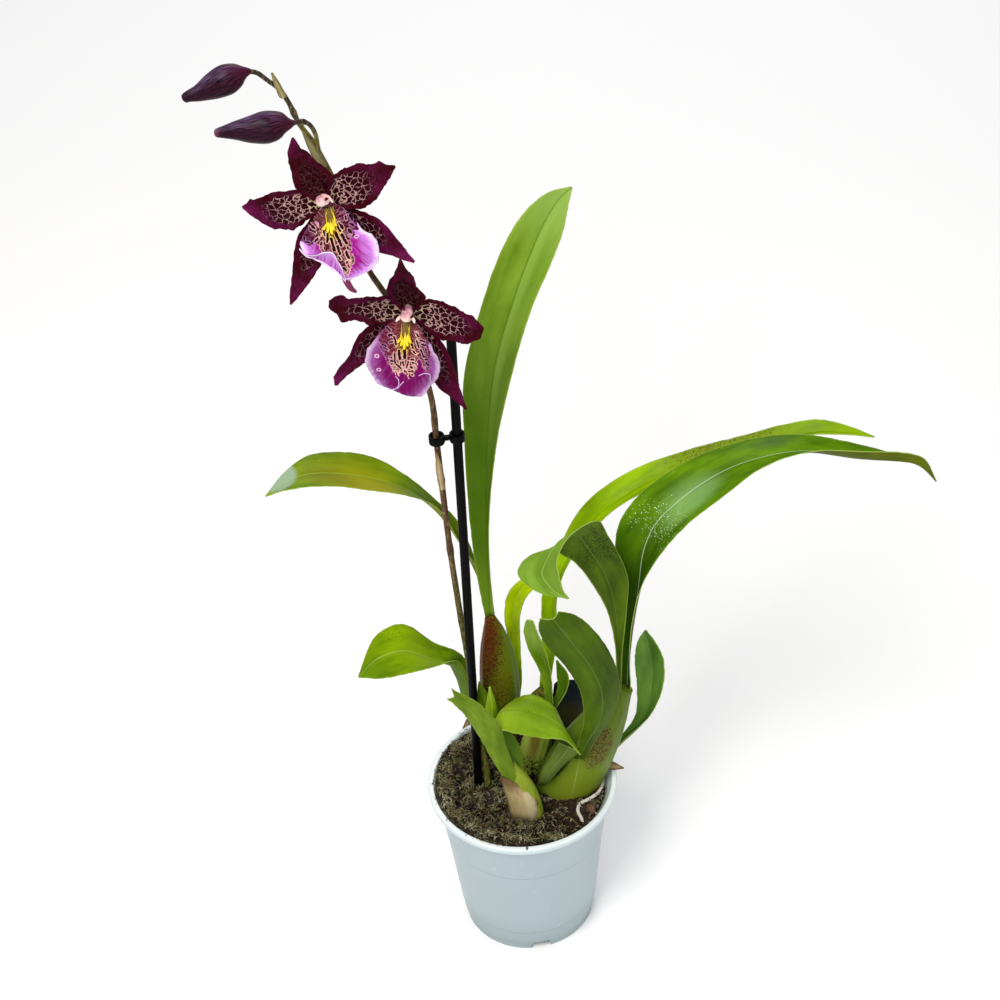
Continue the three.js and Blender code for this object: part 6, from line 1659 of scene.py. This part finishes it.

# %% [markdown]
# ## Buds and bracts
# A closed bud is three petals pressed edge to edge, so it has shallow seams along it and a blunt curved
# tip. It is nearly black in shade, and its upper side has a painted lilac-grey sheen for the mirrored sky.
# The bracts are the small dry scales at the joints of the spike.

# %% The buds and bracts
bud_skin = material("dark_waxy_bud", Roughness=0.3, IOR=1.45, Specular_IOR_Level=0.1)
place = add(bud_skin, "Attribute", out="Vector", attribute_name="blade")
turn = add(bud_skin, "SeparateXYZ", {0: place}, out=2)
along = add(bud_skin, "SeparateXYZ", {0: place}, out=1)
drawn = laid_out(bud_skin, (turn, 34.0), (along, 0.17))
vein = add(bud_skin, "TexNoise", {"Vector": drawn, "Scale": 1, "Detail": 3})
wisp = add(bud_skin, "MapRange", {"Value": vein, "From Min": 0.38, "From Max": 0.68})
# Painted reflection: by its normal, the bud's upper side turns lilac-grey as if it mirrored the sky.
painted_sky_sheen = add(bud_skin, "SeparateXYZ", {0: add(bud_skin, "TexCoord", out="Normal")}, out=2)
painted_sky_sheen = add(bud_skin, "MapRange", {"Value": painted_sky_sheen, "From Min": 0.1, "From Max": 0.95})
cloud = add(bud_skin, "TexNoise", {"Vector": add(bud_skin, "TexCoord", out="Object"), "Scale": 90, "Detail": 2})
cloud = add(bud_skin, "MapRange", {"Value": cloud, "From Min": 0.35, "From Max": 0.65, "To Min": 0.3})
painted_sky_sheen = add(bud_skin, "Math", {0: painted_sky_sheen, 1: cloud}, operation="MULTIPLY")
pale = blended(bud_skin, painted_sky_sheen, "340c22", "6a5074")
flush = add(bud_skin, "MapRange", {"Value": along, "From Min": 13.0, "From Max": 4.0, "To Max": 0.75})
pale = blended(bud_skin, flush, pale, "5a0c2e")
wisp = add(bud_skin, "Math", {0: painted_sky_sheen, 1: 0.15, 2: wisp}, operation="MULTIPLY_ADD", use_clamp=True)
tone = blended(bud_skin, wisp, "0e0308", pale)
tip = add(bud_skin, "MapRange", {"Value": along, "From Min": 35.5, "From Max": 38.5, "To Max": 0.6})
tone = blended(bud_skin, tip, tone, "8a4a5c")
dress(bud_skin, tone, None, vein, depth=0.4, strength=0.5)


def seams(t, turn, so_far):
    return -0.5 * math.sin(math.pi * t) * abs(math.cos(1.5 * turn + 0.4)) ** 6


BUDS = {
    "bud_top": [
        [-107.6, -23.2, 636.6, 2.7, 2.7], [-110.2, -24.5, 637, 5.5, 5.5], [-113.6, -25.2, 636.4, 11.5, 10.5],
        [-119, -26, 634.7, 15, 14], [-126, -27, 632, 13, 12], [-132.5, -28.4, 629.8, 8.4, 8],
        [-137.6, -29.4, 628.8, 5.6, 5.4], [-140.4, -29.9, 627.4, 4.4, 4.2],
    ],
    "bud_lower": [
        [-89.9, -28.4, 610.9, 2.7, 2.7], [-92.4, -30, 611.5, 6, 6], [-96, -30.8, 612, 12.5, 11.5],
        [-102.5, -32, 611.6, 16, 15], [-110, -33, 611.4, 13.6, 12.6], [-117, -33.5, 611.6, 9.6, 9],
        [-123, -34, 611.4, 6.2, 5.8], [-127.6, -34, 611, 4, 4],
    ],
}

for name, stations in BUDS.items():
    finish_piece(name + "_closed", [tube(stations, sides=48, steps=60, relief=seams, round_start=0.5, round_end=1.6)],
                 [bud_skin], [name])

bract_skin = husk_skin("green_tan_bract", "a39c50", "d8d294", "50401e", "4a2c18")
BRACTS = {
    "bract_at_clip": [
        [[-37, 5.5, 354], [-33.5, 4.5, 354], -1.8], [[-38, 4.5, 368], [-34, 3.5, 368], -1.6],
        [[-37.2, 2.2, 383], [-36.4, 2, 383], 0],
    ],
    "bract_at_bud_stalk": [
        [[-82, -13, 576], [-77.5, -13.5, 577], -1.5], [[-86, -14.5, 589], [-82, -15, 590], -1.4],
        [[-88, -15.5, 599], [-87, -15.7, 599], 0],
    ],
    "bract_at_top_bud": [
        [[-96.5, -16, 618], [-93, -15.5, 618], -1.2], [[-98, -17.5, 625], [-95.5, -16.5, 626], -1],
        [[-99, -17.5, 632], [-98, -17.2, 632], 0],
    ],
}

for name, rows in BRACTS.items():
    shape = blade(rows, steps=28, across=16, tooth=0.3, seed=len(name))
    finish_piece(name + "_scale", [shape], [dry_bract if name == "bract_at_clip" else bract_skin], [name],
                 thickness=0.5)

# %% [markdown]
# ## The root
# One white root has crept over the mix to the rim. Dead cells filled with air make it chalky, and it is
# slightly knobbly.

# %% The root
root_coat = material("chalky_root_coat", Roughness=0.8)
place = add(root_coat, "TexCoord", out="Object")
chalk = add(root_coat, "TexNoise", {"Vector": place, "Scale": 420, "Detail": 5, "Roughness": 0.65})
tone = blended(root_coat, chalk, "a9a595", "efece0")
dress(root_coat, tone, None, chalk, depth=0.3, strength=0.6)


def knobs(t, turn, so_far):
    return 0.16 * noise.noise(Vector((math.cos(turn), math.sin(turn), so_far * 0.22)) * 1.6)


finish_piece("creeping_root", [tube(ROOT, sides=16, steps=120, relief=knobs, round_start=1, round_end=1)],
             [root_coat], ["aerial_root"])
